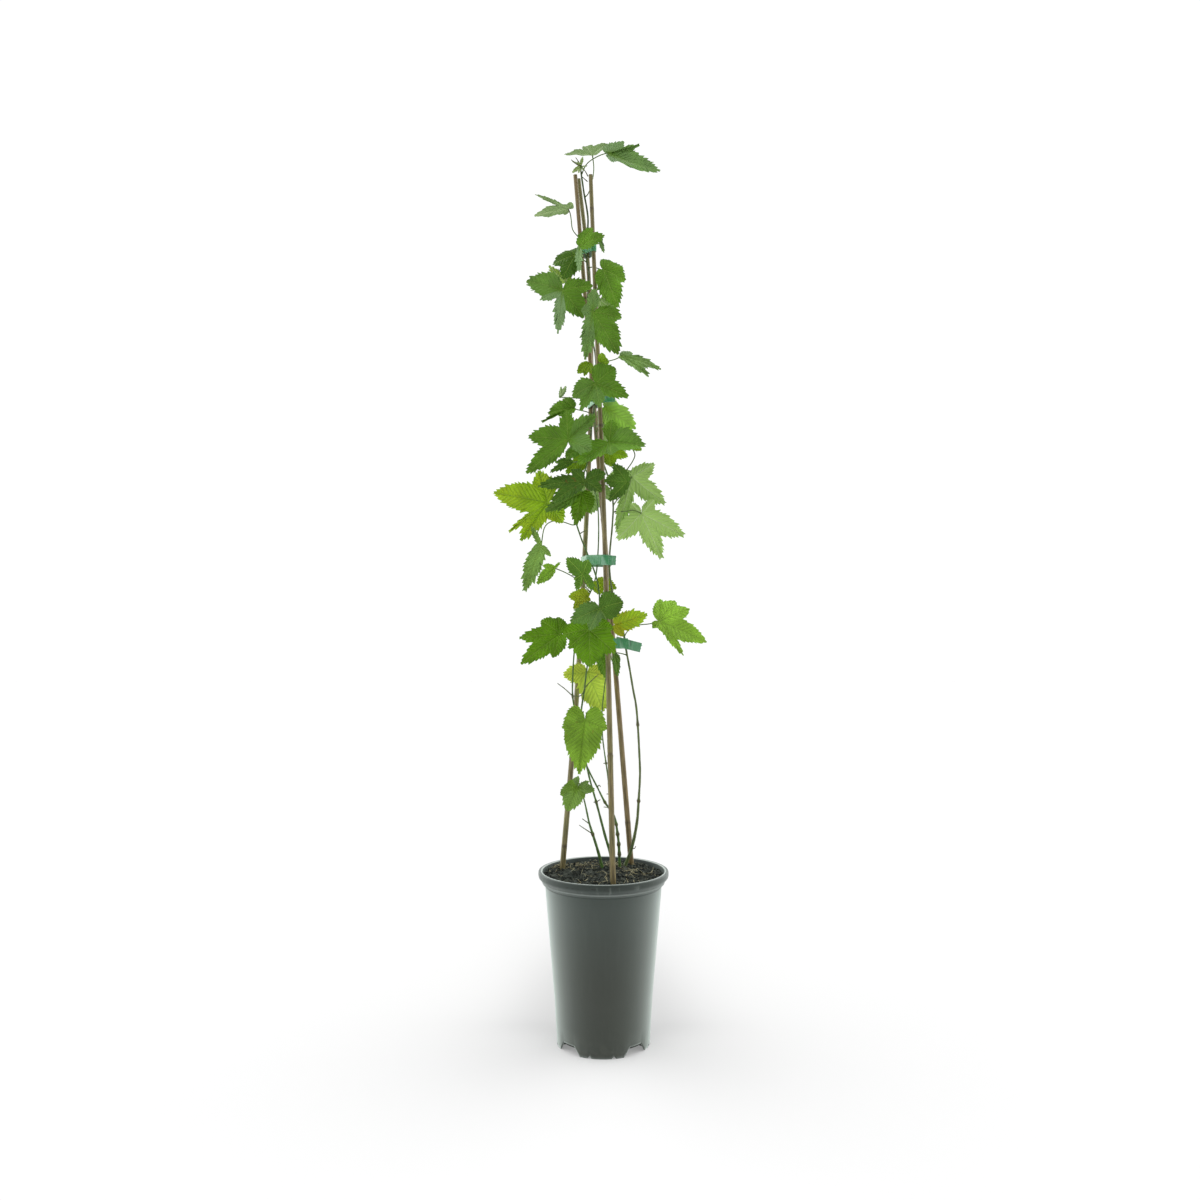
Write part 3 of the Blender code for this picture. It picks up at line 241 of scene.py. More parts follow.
LEAVES = (
    LeafPlan("leaf_01", "bine_lead", 197, (592.5, 155.6, 4), Tone.SOFT,
        ((564, 155, -4, 8), (585, 146, -24, 7), (609, 143.8, -22, 9)),
        via=((588, 194, -1), (592, 182, 0), (593.8, 168, 3)), teeth=0.5),
    LeafPlan("leaf_02", "bine_lead", 174, (608, 153, -8), Tone.MID,
        ((622, 161, 2, 6), (660, 171.5, -34, 14), (639.5, 143.5, -20, 8), (624, 141.5, -30, 10)),
        via=((585.9, 165.2, -8), (590, 161, -8), (599.9, 155.4, -8)), pale=(1.0, 0.36, 0.3, 0.6)),
    LeafPlan("shoot_tip", "bine_lead", 172, (580.6, 165.5, -8), Tone.YOUNG,
        ((572, 173, -14, 2), (571.5, 160.5, -10, 1), (583, 156.2, -6, 1.5)), arch=0.3, fold=0),
    LeafPlan("leaf_03", "bine_lead", 240, (568.2, 209, -10), Tone.SOFT,
        ((564, 215, -2, 3.5), (534, 216, -14, 8), (534, 194, -4, 2.4), (573, 203.4, -16, 4.5)),
        via=((581, 239, 7), (576, 234.5, 4), (572.4, 228.9, 0),
        (571.2, 219.7, -5), (569.9, 212.6, -9)), teeth=0.35),
    LeafPlan("leaf_04", "bine_lead", 255, (579.5, 246.5, -21), Tone.MID,
        ((579.5, 273, -27, 3.5), (605, 235, -25, 9), (593, 227.5, -20, 7)), pale=(0.75, 0, 0), shade=1.16),
    LeafPlan("leaf_05", "bine_lead", 262, (575.3, 255, -8), Tone.DEEP,
        ((569.5, 250.5, -2, 7), (552.5, 265, -6, 10.5), (563, 279, -12, 10.5), (574.5, 268, -8, 7)),
        shade=1.04),
    LeafPlan("leaf_06", "bine_lead", 284, (562.8, 290, -28), Tone.MID,
        ((526, 281, -22, 15), (539.5, 300.5, -32, 7), (557.6, 334.4, -38, 6.5),
         (583.7, 318.3, -30, 13.5), (593.2, 285.6, -26, 9.5)), pale=(0.12, 0.5, 0.7, 0, 0)),
    LeafPlan("leaf_07", "bine_lead", 268, (603.5, 270, -16), Tone.MID,
        ((600, 290, -19, 8), (617.5, 308, -24, 13), (625, 281, -16, 15), (613, 262.5, -12, 10)),
        shade=1.14),
    LeafPlan("leaf_08", "bine_lead", 306, (592.8, 312, -43), Tone.MID,
        ((594, 288.5, -40, 7), (581, 311, -44, 8), (585, 360, -54, 8),
         (618.5, 354.5, -54, 15), (622, 318, -42, 13)), pale=(0.3, 0.35, 0.3, 0, 0), shade=0.94),
    LeafPlan("leaf_09", "bine_lead", 366, (620.5, 356.4, -34), Tone.SOFT,
        ((649, 377, -42, 7), (661.3, 369.6, -32, 8), (633, 354, -24, 4.5)), pale=(0.1, 0.1, 0.4)),
    LeafPlan("leaf_10", "bine_lead", 352, (602, 363, -24), Tone.LIME,
        ((606, 372, -26, 5), (609.4, 362, -24, 5.5), (602, 352.5, -22, 4.5))),
    LeafPlan("leaf_11", "bine_lead", 394, (595.3, 383.7, -38), Tone.MID,
        ((572.5, 397, -42, 11.5), (581, 411, -44, 8), (600, 407.5, -50, 9),
         (628.3, 397, -46, 11), (615.5, 367.5, -36, 15)), pale=(0.1, 0.1, 0.15, 0, 0), shade=0.96),
    LeafPlan("leaf_12", "bine_lead", 415, (574, 408, -28), Tone.MID,
        ((562.5, 398.5, -26, 6), (548, 414, -33, 10.5), (542, 423, -33, 4.5), (565, 412, -32, 4.5))),
    LeafPlan("leaf_13", "bine_lead", 430, (568, 440, -44), Tone.MID,
        ((591, 450.5, -60, 15), (595.7, 415.3, -34, 10.5), (566.5, 410, -40, 9),
         (528.3, 437, -46, 13), (525.7, 473.8, -52, 10.5)), pale=(0.2, 0.12, 0, 0, 0), shade=0.97),
    LeafPlan("leaf_14", "bine_right", 432, (605, 407.5, -14), Tone.BRIGHT,
        ((617.5, 428, -18, 11), (636, 429, -24, 13), (619, 404, -16, 9)),
        pale=(0.2, 0.15, 0.25), shade=1.5),
    LeafPlan("leaf_15", "bine_right", 446, (609.4, 442.4, -36), Tone.MID,
        ((578.4, 464.3, -46, 14), (611.5, 455.3, -52, 12), (645, 446, -40, 15), (612, 420, -34, 9)),
        pale=(0, 0.1, 0.08, 0), shade=1.22),
    LeafPlan("leaf_16", "bine_right", 487, (631.5, 446.5, -34), Tone.LIME,
        ((642, 450.3, -36, 4.5), (628, 437, -28, 6), (624, 446, -31, 4.5)), arch=1,
        via=((620, 478, -20), (628.2, 467.8, -28), (633, 460.5, -32), (634.9, 454.8, -34))),
    LeafPlan("leaf_17", "bine_right", 452, (608, 451, -12), Tone.LIME,
        ((612, 467, -14, 9), (628.3, 456.6, -14, 7))),
    LeafPlan("leaf_18", "bine_inner", 448, (578.5, 449, -30), Tone.MID,
        ((571.5, 446, -28, 4.5), (565.5, 459, -34, 7.5))),
    LeafPlan("leaf_19", "bine_inner", 462, (571.5, 462, -30), Tone.DEEP,
        ((555, 462.6, -30, 4.5), (549.5, 472.5, -33, 4)), arch=1),
    LeafPlan("leaf_20", "bine_inner", 455, (582, 458.5, -6), Tone.LIME,
        ((573, 459, -8, 4.5), (565.5, 474, -12, 6), (580, 472, -10, 7)), arch=1),
    LeafPlan("leaf_21", "bine_inner", 470, (584.6, 481, -44), Tone.DEEP,
        ((572, 469.5, -38, 7), (537.2, 486.5, -46, 8), (550.5, 504, -54, 8.5),
         (602, 492, -52, 7.5), (606, 473, -40, 9.5)), specks=0.4, shade=0.80),
    LeafPlan("leaf_22", "bine_inner", 486, (581.6, 493, -36), Tone.SAP,
        ((545, 511, -46, 8), (575.5, 524.5, -42, 9.5), (589, 512.8, -38, 10.5)),
        pale=(0.15, 0, 0), shade=0.82),
    LeafPlan("leaf_23", "bine_inner", 500, (547.8, 502.8, -30), Tone.LIME,
        ((539, 470.5, -22, 13), (493.4, 492.6, -24, 16.5), (508.5, 532.3, -40, 3),
         (520.7, 541, -32, 11), (563, 523, -36, 11.5)), warm=0.2, shade=1.15),
    LeafPlan("leaf_24", "bine_right", 496, (632, 476.8, -30), Tone.BRIGHT,
        ((606, 478, -26, 13), (654.3, 463.4, -26, 10.5), (665, 503.7, -34, 11), (616.5, 533, -30, 7.4)),
        via=((617, 499.5, -24), (620.5, 496, -33), (626, 487, -35)), shade=1.04),
    LeafPlan("leaf_25", "bine_right", 512, (641.4, 513.4, -44), Tone.BRIGHT,
        ((654, 499.5, -40, 9.5), (684, 535.3, -46, 12.5), (661.8, 558.3, -52, 10.5),
         (617.2, 539.4, -44, 10.5), (631, 503.5, -42, 9)),
        via=((620, 511.8, -26), (627.4, 511, -38), (633.7, 510.4, -45)), shade=1.07),
    LeafPlan("leaf_26", "bine_inner", 524, (541, 546, -44), Tone.SOFT,
        ((531.5, 526, -40, 3), (524.5, 591.3, -46, 9.5), (551, 556.5, -48, 3.5)), arch=1,
        via=((573.2, 525, -17), (562.4, 521.8, -26), (551.7, 521.5, -34), (545, 526.6, -39)), shade=1.22),
    LeafPlan("leaf_27", "bine_middle", 592, (554.3, 568, -26), Tone.BRIGHT,
        ((561, 562, -28, 1.5), (542.5, 565.5, -24, 3.5),
         (537, 584, -28, 6.5), (547.7, 581, -30, 2.5)), arch=1,
        via=((582, 583.5, -4), (572.7, 576.6, -12), (563, 571.5, -20))),
    LeafPlan("leaf_28", "bine_inner", 590, (582.6, 574.4, -40), Tone.DEEP,
        ((592, 594.5, -42, 7), (588.3, 559.5, -38, 7), (566.5, 557.8, -42, 9),
         (573.5, 580, -42, 3), (578.5, 593.7, -46, 7)), shade=1.46),
    LeafPlan("leaf_29", "bine_middle", 588, (597.5, 581.5, -4), Tone.LIME,
        ((600, 595, -6, 7), (616.8, 588.5, -8, 7.5)), arch=1, warm=0.25),
    LeafPlan("leaf_30", "bine_middle", 606, (587.5, 597, -24), Tone.LIME,
        ((576, 590.5, -26, 6), (568.3, 596.6, -30, 8), (573, 608.6, -32, 7)), warm=0.5),
    LeafPlan("leaf_31", "bine_inner", 600, (600, 608.5, -52), Tone.DEEP,
        ((570.3, 622, -58, 11.5), (589.5, 630.6, -64, 7), (606.5,
        620, -56, 6), (623.5, 602, -54, 15)), pale=(0.1, 0.2, 0.15, 0), shade=1.00),
    LeafPlan("leaf_32", "bine_inner", 634, (589, 629.5, -40), Tone.SAP,
        ((562.5, 634.5, -40, 12.5), (568.5, 648.5, -44, 9), (590.5, 667, -50, 18.5),
         (615.3, 653, -48, 14), (613, 628, -44, 12.5)), shade=1.08),
    LeafPlan("leaf_33", "bine_middle", 645, (560.3, 634, -26), Tone.SAP,
        ((557.5, 617, -22, 9), (541, 620, -24, 12), (519, 638.2, -28, 9.5),
         (520.6, 664.3, -38, 11), (552.5, 658, -36, 10)), teeth=0.8),
    LeafPlan("leaf_34", "bine_right", 618, (616, 624.5, -38), Tone.LIME,
        ((623.2, 636.8, -40, 6), (647.5, 614.5, -40, 10.5), (620, 613.5, -36, 4.5)), warm=0.75, shade=1.10),
    LeafPlan("leaf_35", "bine_right", 641, (659.3, 621.7, -22), Tone.BRIGHT,
        ((653, 629, -24, 5.5), (683.8, 656, -40, 4.8), (707, 642.5, -34, 12.5),
         (690, 609.2, -14, 12), (675, 600.5, -9, 13), (660, 598.5, -6, 7.5)),
        via=((624.6, 636.3, -30), (630.9, 627.9, -29), (639.3, 625, -27), (648.4, 624, -24)),
        shade=1.14, teeth=0.6),
    LeafPlan("leaf_36", "bine_side", 655, (599.5, 652, -26), Tone.MID,
        ((606, 679.2, -30, 8), (612, 660, -22, 6))),
    LeafPlan("leaf_37", "bine_right", 655, (614.5, 654.5, -14), Tone.DEEP,
        ((617.5, 676.5, -12, 5), (620, 662, -10, 3.5)), arch=0.5),
    LeafPlan("leaf_38", "bine_inner", 680, (587.5, 672.5, 14), Tone.PALE,
        ((563, 675, 16, 11), (604, 711.5, 12, 17), (607.5, 674, 16, 10)), warm=0.3, shade=1.28),
    LeafPlan("leaf_39", "bine_inner", 735, (585, 720, -20), Tone.BRIGHT,
        ((575, 711.5, -20, 10), (561.5, 728, -26, 22), (564.5, 744, -27, 21), (579, 775, -30, 25),
         (597, 750, -29, 21), (608, 729, -28, 21), (599, 708.5, -22, 11)),
        specks=0.3, shade=0.88, point=1.35),
    LeafPlan("leaf_40", "bine_short", 794, (576.8, 788, -14), Tone.BRIGHT,
        ((579.5, 776, -10, 7), (564.5, 786.5, -16, 8), (560, 795, -20, 9), (567, 811.5, -26, 11.5),
         (584, 799, -22, 6.5), (595, 790.5, -18, 6.5), (589, 779.5, -14, 6.5)),
        pale=(0.4, 0, 0.1, 0.25, 0.1, 0.3, 0.4), shade=0.7),
    LeafPlan("leaf_41", "bine_lead", 320, (600, 300, 32), Tone.MID,
        ((613, 312, 40, 10.5), (602, 330, 62, 11.5), (587, 309, 46, 10.5))),
    LeafPlan("leaf_42", "bine_right", 428, (607, 418, 36), Tone.MID,
        ((624, 426, 42, 11.5), (607, 446, 70, 14), (588, 427, 50, 11.5))),
    LeafPlan("leaf_43", "bine_middle", 500, (594, 488, 40), Tone.MID,
        ((612, 500, 46, 10.5), (590, 514, 68, 14), (573, 492, 50, 11.5))),
    LeafPlan("leaf_44", "bine_middle", 628, (596, 622, 42), Tone.MID,
        ((615, 632, 48, 11.5), (598, 650, 70, 14), (577, 634, 50, 11.5))),
    LeafPlan("small_leaf_a", "bine_lead", 290, (565, 281.5, -12), Tone.LIME,
        ((548.7, 265.2, -8, 5), (570, 273, -10, 5)), carries="leaf_06"),
    LeafPlan("small_leaf_b", "bine_lead", 372, (589, 364, -3), Tone.LIME,
        ((577.4, 373.5, -8, 6), (584, 376.5, -8, 4), (591, 374, -8, 4)), arch=1, carries="leaf_11"),
    LeafPlan("small_leaf_d", "bine_lead", 171, (581.5, 166.5, -8), Tone.YOUNG,
        ((576.9, 161, -12, 0.9), (588.2, 165.8, -14, 0.7), (583.5, 171.5, -13, 0.9)),
        arch=0.2, carries="shoot_tip"),
    LeafPlan("small_leaf_e", "bine_lead", 172, (580.4, 168.3, -10), Tone.YOUNG,
        ((578, 173.2, -13, 0.9), (575.2, 170.4, -13, 1.1)), arch=0.2, carries="shoot_tip"),
    LeafPlan("small_leaf_f", "bine_right", 505, (627, 482, -36), Tone.DEEP,
        ((613, 463.5, -33, 7), (604, 481, -34, 8), (609, 501, -36, 6.5)), carries="leaf_24"),
    LeafPlan("small_leaf_g", "bine_lead", 250, (599.5, 238, -19), Tone.SOFT,
        ((604.2, 253.5, -22, 2.2), (603, 241, -20, 2)), arch=0.5, pale=(0.4, 0.4), carries="leaf_04"),
    LeafPlan("small_leaf_c", "bine_lead", 402, (560, 396.5, -20), Tone.SOFT,
        ((561, 386, -20, 2), (566.3, 385.5, -22, 2.5)), arch=1, carries="leaf_12"),
)


@dataclass(frozen=True)
class FrontSheet:
    """The sheet that the plant is read on: where the eye stands and how far one unit reaches."""

    eye_distance: float = 1346.0
    eye_height: float = 509.0
    eye_side: float = -4.0
    middle: float = 600.0
    reach: float = 1166.7

    def seen(self, across: float, down: float, depth: float) -> Array:
        """The place in millimetres seen at across, down on the sheet, depth behind the pot's axis."""
        away = (self.eye_distance + depth) / self.reach
        return np.array((
            self.eye_side + (across - self.middle) * away,
            depth,
            self.eye_height - (down - self.middle) * away,
        ))

    def line(self, places: tuple[Place, ...]) -> Array:
        """The places of a route on the sheet as an array of (x, y, z) rows."""
        return np.array([self.seen(*place) for place in places])

    def levels(self, points: Array) -> Array:
        """How far down the sheet each of the points (x, y, z) is seen."""
        away = (self.eye_distance + points[:, 1]) / self.reach
        return self.middle + (self.eye_height - points[:, 2]) / away


SHEET = FrontSheet()


def smooth_route(knots: Array, count: int) -> Array:
    """A smooth curve through the knots: a cubic between each two, sloped as their neighbours are.

    Args:
        knots: places to pass, one row each.
        count: how many places the curve gets.

    Returns:
        The curve's places, evenly spread over the knots' distances to the power of a half.
    """
    steps = np.linalg.norm(np.diff(knots, axis=0), axis=1) ** 0.5
    at = np.concatenate([[0], np.cumsum(steps)])
    slopes = np.gradient(knots, at, axis=0)
    where = np.linspace(0, at[-1], count)
    k = np.clip(np.searchsorted(at, where, side="right") - 1, 0, len(at) - 2)
    span = (at[k + 1] - at[k])[:, None]
    f = ((where - at[k]) / span[:, 0])[:, None]
    return (
        (2 * f**3 - 3 * f**2 + 1) * knots[k]
        + (f**3 - 2 * f**2 + f) * span * slopes[k]
        + (3 * f**2 - 2 * f**3) * knots[k + 1]
        + (f**3 - f**2) * span * slopes[k + 1]
    )


def smooth_step(value: Array, low: float, high: float) -> Array:
    """0 below low, 1 above high, and the cubic 3t^2 - 2t^3 between them."""
    t = np.clip((value - low) / (high - low), 0, 1)
    return t * t * (3 - 2 * t)


def unit(vectors: Array) -> Array:
    """The vectors, along the last axis, at length one."""
    return vectors / np.maximum(np.linalg.norm(vectors, axis=-1, keepdims=True), 1e-9)


def run_length(line: Array) -> Array:
    """How far along the line each of its places stands."""
    return np.concatenate([[0], np.cumsum(np.linalg.norm(np.diff(line, axis=0), axis=1))])


def rays(angle: Array) -> Array:
    """The directions (cos a, sin a), one row for each angle a."""
    return np.column_stack([np.cos(angle), np.sin(angle)])


def turned(reach: Array, angle: Array, height: Array | float) -> Array:
    """The places (reach cos a, reach sin a, height), one row each, of arrays that fit one another."""
    x, y, z = np.broadcast_arrays(reach * np.cos(angle), reach * np.sin(angle), height)
    return np.stack([x, y, z], axis=-1).reshape(-1, 3)


def turned_about(vectors: Array, axis: Array, angles: Array) -> Array:
    """The vectors turned by the angles: v cos a + (axis x v) sin a + axis (axis . v)(1 - cos a)."""
    cos, sin = np.cos(angles)[:, None], np.sin(angles)[:, None]
    return vectors * cos + np.cross(axis, vectors) * sin + (vectors @ axis)[:, None] * axis * (1 - cos)


def ripples(points: Array, size: float, seed: int) -> Array:
    """A soft random field: a sum of 14 sine waves in random directions, about as long as the size.

    Args:
        points: places, one row each.
        size: the length of a wave.
        seed: picks the waves.

    Returns:
        One value for each place, with a spread of about one.
    """
    chance, waves = np.random.default_rng(seed), 14
    ways = unit(chance.normal(size=(waves, points.shape[1]))) * math.tau / size
    ways = ways * chance.uniform(0.6, 1.6, (waves, 1))
    phases = chance.uniform(0, math.tau, waves)
    return np.sin(points @ ways.T + phases).sum(axis=1) * math.sqrt(2 / waves)


@dataclass
class Patch:
    """Part of a mesh: places in millimetres, faces, the map of each corner, and marks of each place."""

    points: Array
    faces: list[Array]
    maps: list[Array] = field(default_factory=list)
    marks: dict[str, Array] = field(default_factory=dict)
    sharp: list[tuple[int, int]] = field(default_factory=list)

    def corner_maps(self) -> list[Array]:
        """The (u, v) of every corner, all zero where the patch was given none."""
        return self.maps or [np.zeros((*block.shape, 2)) for block in self.faces]


def joined(patches: list[Patch]) -> Patch:
    """The patches as one, with a mark of 0 where a patch lacks it.

    Args:
        patches: any number of patches, at least one.

    Returns:
        One patch that holds them all.
    """
    starts = [int(start) for start in np.cumsum([0] + [len(patch.points) for patch in patches])]
    placed = list(zip(patches, starts))
    names = sorted({name for patch in patches for name in patch.marks})
    return Patch(
        np.vstack([patch.points for patch in patches]),
        [block + start for patch, start in placed for block in patch.faces],
        [block for patch in patches for block in patch.corner_maps()],
        {
            name: np.concatenate([patch.marks.get(name, np.zeros(len(patch.points))) for patch in patches])
            for name in names
        },
        [(low + start, high + start) for patch, start in placed for low, high in patch.sharp],
    )


def grid_faces(rows: int, columns: int, closed: bool = True, flip: bool = False) -> Array:
    """The four-sided faces of a grid whose places run row by row.

    Args:
        rows: how many rows of places.
        columns: how many places in a row.
        closed: whether a row's end meets its start.
        flip: whether the faces turn the other way.

    Returns:
        An array with one row of four place numbers for each face.
    """
    across = np.arange(columns if closed else columns - 1)
    r, c = (grid.ravel() for grid in np.meshgrid(np.arange(rows - 1), across, indexing="ij"))
    d = (c + 1) % columns
    faces = np.column_stack([r * columns + c, r * columns + d, (r + 1) * columns + d, (r + 1) * columns + c])
    return faces[:, ::-1] if flip else faces


def fan_faces(ring: int, columns: int, centre: int, flip: bool = False) -> Array:
    """The triangles from a ring of places, numbered from ring, to a place at its centre."""
    c = np.arange(columns)
    faces = np.column_stack([ring + c, ring + (c + 1) % columns, np.full(columns, centre)])
    return faces[:, ::-1] if flip else faces


def capped_faces(rows: int, columns: int, flip: bool = False) -> list[Array]:
    """The faces of a closed grid and of a fan at each end, whose two centres follow the last row."""
    count = rows * columns
    return [
        grid_faces(rows, columns, flip=flip),
        fan_faces(0, columns, count, flip=not flip),
        fan_faces(count - columns, columns, count + 1, flip=flip),
    ]


def rod(rings: Array, ends: Array, along: Array) -> Patch:
    """A closed rod from its rings of places, with (share round, millimetres along) as its map.

    Args:
        rings: the places, as rings by sides by 3.
        ends: the middle of the first ring and of the last.
        along: how far along the rod each ring stands.

    Returns:
        The rod as a patch.
    """
    rows, sides = rings.shape[:2]
    faces = capped_faces(rows, sides)
    column, row = faces[0] % sides, faces[0] // sides
    wrapped = np.where((column == 0) & (np.arange(4)[None, :] % 3 != 0), sides, column)
    maps = np.stack([wrapped / sides, along[row]], axis=-1)
    tips = [np.full((sides, 3, 2), (0.5, value)) for value in (along[0], along[-1])]
    return Patch(np.vstack([rings.reshape(-1, 3), ends]), faces, [maps, *tips])


def tube(line: Array, radii: Array, sides: int, ridges: Array | None = None, twist: float = 0.0) -> Patch:
    """A rod with closed ends: a round profile carried along a line.

    A place is line + radius (cos a . side + sin a . other), where side and other are square to the
    line's direction and a runs once round.

    Args:
        line: the places of the axis, one row each.
        radii: the radius at each.
        sides: how many places round the profile.
        ridges: the profile's own factor at each of the sides.
        twist: how far the profile turns along the way, in radians a millimetre.

    Returns:
        The rod as a patch.
    """
    ways = unit(np.gradient(line, axis=0))
    side = unit(np.cross(ways, np.eye(3)[np.argmin(np.abs(ways).max(axis=0))]))
    other = np.cross(ways, side)
    along = run_length(line)
    angle = math.tau * np.arange(sides)[None, :] / sides + twist * along[:, None]
    size = radii[:, None] * (np.ones(sides) if ridges is None else ridges)[None, :]
    ring = np.cos(angle)[..., None] * side[:, None, :] + np.sin(angle)[..., None] * other[:, None, :]
    return rod(line[:, None, :] + size[..., None] * ring, line[[0, -1]], along)


def put_in(name: str, data: bpy.types.ID) -> bpy.types.Object:
    """A new object in the scene that holds this mesh, lamp or camera."""
    thing = bpy.data.objects.new(name, data)
    bpy.context.scene.collection.objects.link(thing)
    return thing


def make_piece(
    name: str, patch: Patch, surface: Material, nodes: tuple[str, ...] = ()
) -> bpy.types.Object:
    """Puts a patch into the scene as a piece of the plant.

    Args:
        name: the piece's plain name.
        patch: its places, faces, maps and marks.
        surface: its material.
        nodes: the solids that it stands for.

    Returns:
        The new object, at the origin and in metres.
    """
    mesh = bpy.data.meshes.new(name)
    mesh.vertices.add(len(patch.points))
    mesh.vertices.foreach_set("co", (patch.points * MM).astype(np.float32).ravel())
    sizes = np.concatenate([np.full(len(block), block.shape[1]) for block in patch.faces])
    corners = np.concatenate([block.ravel() for block in patch.faces]).astype(np.int32)
    mesh.loops.add(len(corners))
    mesh.loops.foreach_set("vertex_index", corners)
    mesh.polygons.add(len(sizes))
    mesh.polygons.foreach_set("loop_start", np.concatenate([[0], np.cumsum(sizes)[:-1]]).astype(np.int32))
    mesh.update(calc_edges=True)
    layer = mesh.uv_layers.new(name="surface")
    flat = np.concatenate([block.reshape(-1, 2) for block in patch.corner_maps()])
    layer.uv.foreach_set("vector", flat.astype(np.float32).ravel())
    for mark, values in patch.marks.items():
        mesh.attributes.new(mark, "FLOAT", "POINT").data.foreach_set("value", values.astype(np.float32))
    mesh.shade_smooth()
    if patch.sharp:
        ends = np.empty(len(mesh.edges) * 2, np.int32)
        mesh.edges.foreach_get("vertices", ends)
        ends = ends.reshape(-1, 2)
        hard = np.zeros(len(ends), bool)
        for low, high in patch.sharp:
            hard |= ((ends >= low) & (ends < high)).all(axis=1)
        mesh.attributes.new("sharp_edge", "BOOLEAN", "EDGE").data.foreach_set("value", hard)
    mesh.materials.append(surface)
    piece = put_in(name, mesh)
    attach(piece, BODY)
    if nodes:
        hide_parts(*nodes)
    LOG.info("%s: %d places, %d faces", name, len(mesh.vertices), len(mesh.polygons))
    return piece


@dataclass
class Route:
    """A bine or cane as its axis in millimetres, with a radius at each place."""

    name: str
    points: Array
    radii: Array

    def read(self, keys: Array, at: float) -> Array:
        """The axis and radius where the keys pass a value.

        Args:
            keys: a value for each place of the route.
            at: the value.

        Returns:
            The axis's x, y and z, and the radius.
        """
        order = np.argsort(keys)
        table = np.column_stack([self.points, self.radii])[order]
        return np.array([np.interp(at, keys[order], column) for column in table.T])

    def at_level(self, down: float) -> tuple[Array, float, Array]:
        """The place, the radius and the unit direction upwards at one level of the sheet."""
        here, ahead = (self.read(SHEET.levels(self.points), level) for level in (down, down - 2))
        return here[:3], float(here[3]), unit(ahead[:3] - here[:3])

    def at_height(self, height: float) -> Array:
        """The axis's x and y, and the radius, at one height in millimetres."""
        return self.read(self.points[:, 2], height)[[0, 1, 3]]


Socket = bpy.types.NodeSocket
Value = float | Socket


class Ramp(Enum):
    """How a value is carried over from one range to another."""

    EVEN = "LINEAR"
    SOFT = "SMOOTHSTEP"


class Nodes:
    """A node tree, with short ways to add its nodes and join them."""

    def __init__(self, tree: bpy.types.NodeTree) -> None:
        """Works on this tree."""
        self.tree = tree

    def add(self, kind: str, inputs: dict | None = None, **settings: object) -> bpy.types.Node:
        """Adds a node.

        Args:
            kind: Blender's name for the node type.
            inputs: values or sockets for its inputs, by name or number.
            **settings: the node's own settings.

        Returns:
            The node.
        """
        node = self.tree.nodes.new(kind)
        for key, value in settings.items():
            setattr(node, key, value)
        for key, value in (inputs or {}).items():
            self.join(node.inputs[key], value)
        return node

    def join(self, entry: Socket, value: object) -> None:
        """Feeds an input.

        Args:
            entry: the input.
            value: a socket to link to it, or a plain value to set it to.
        """
        if isinstance(value, Socket):
            self.tree.links.new(value, entry)
        else:
            entry.default_value = value

    def maths(self, operation: str, first: Value, second: Value = 0.0, third: Value = 0.0) -> Socket:
        """The result of one of Blender's Math operations on up to three values."""
        return self.add("ShaderNodeMath", {0: first, 1: second, 2: third}, operation=operation).outputs[0]

    def times(self, first: Value, second: Value) -> Socket:
        """The product of two values."""
        return self.maths("MULTIPLY", first, second)

    def spread(
        self, value: Value, low: float, high: float, start: Value = 0.0, end: float = 1.0,
        ramp: Ramp = Ramp.SOFT,
    ) -> Socket:
        """The value taken from low..high to start..end."""
        inputs = {"Value": value, "From Min": low, "From Max": high, "To Min": start, "To Max": end}
        return self.add("ShaderNodeMapRange", inputs, interpolation_type=ramp.value).outputs["Result"]

    def parts(self, vector: Socket) -> tuple[Socket, ...]:
        """The three coordinates of a vector."""
        return tuple(self.add("ShaderNodeSeparateXYZ", {0: vector}).outputs)

    def pair(self, first: Value, second: Value) -> Socket:
        """The vector (first, second, 0)."""
        return self.add("ShaderNodeCombineXYZ", {0: first, 1: second}).outputs[0]

    def distance(self, first: Value, second: Value) -> Socket:
        """How long the vector (first, second, 0) is."""
        vector = self.pair(first, second)
        return self.add("ShaderNodeVectorMath", {0: vector}, operation="LENGTH").outputs["Value"]


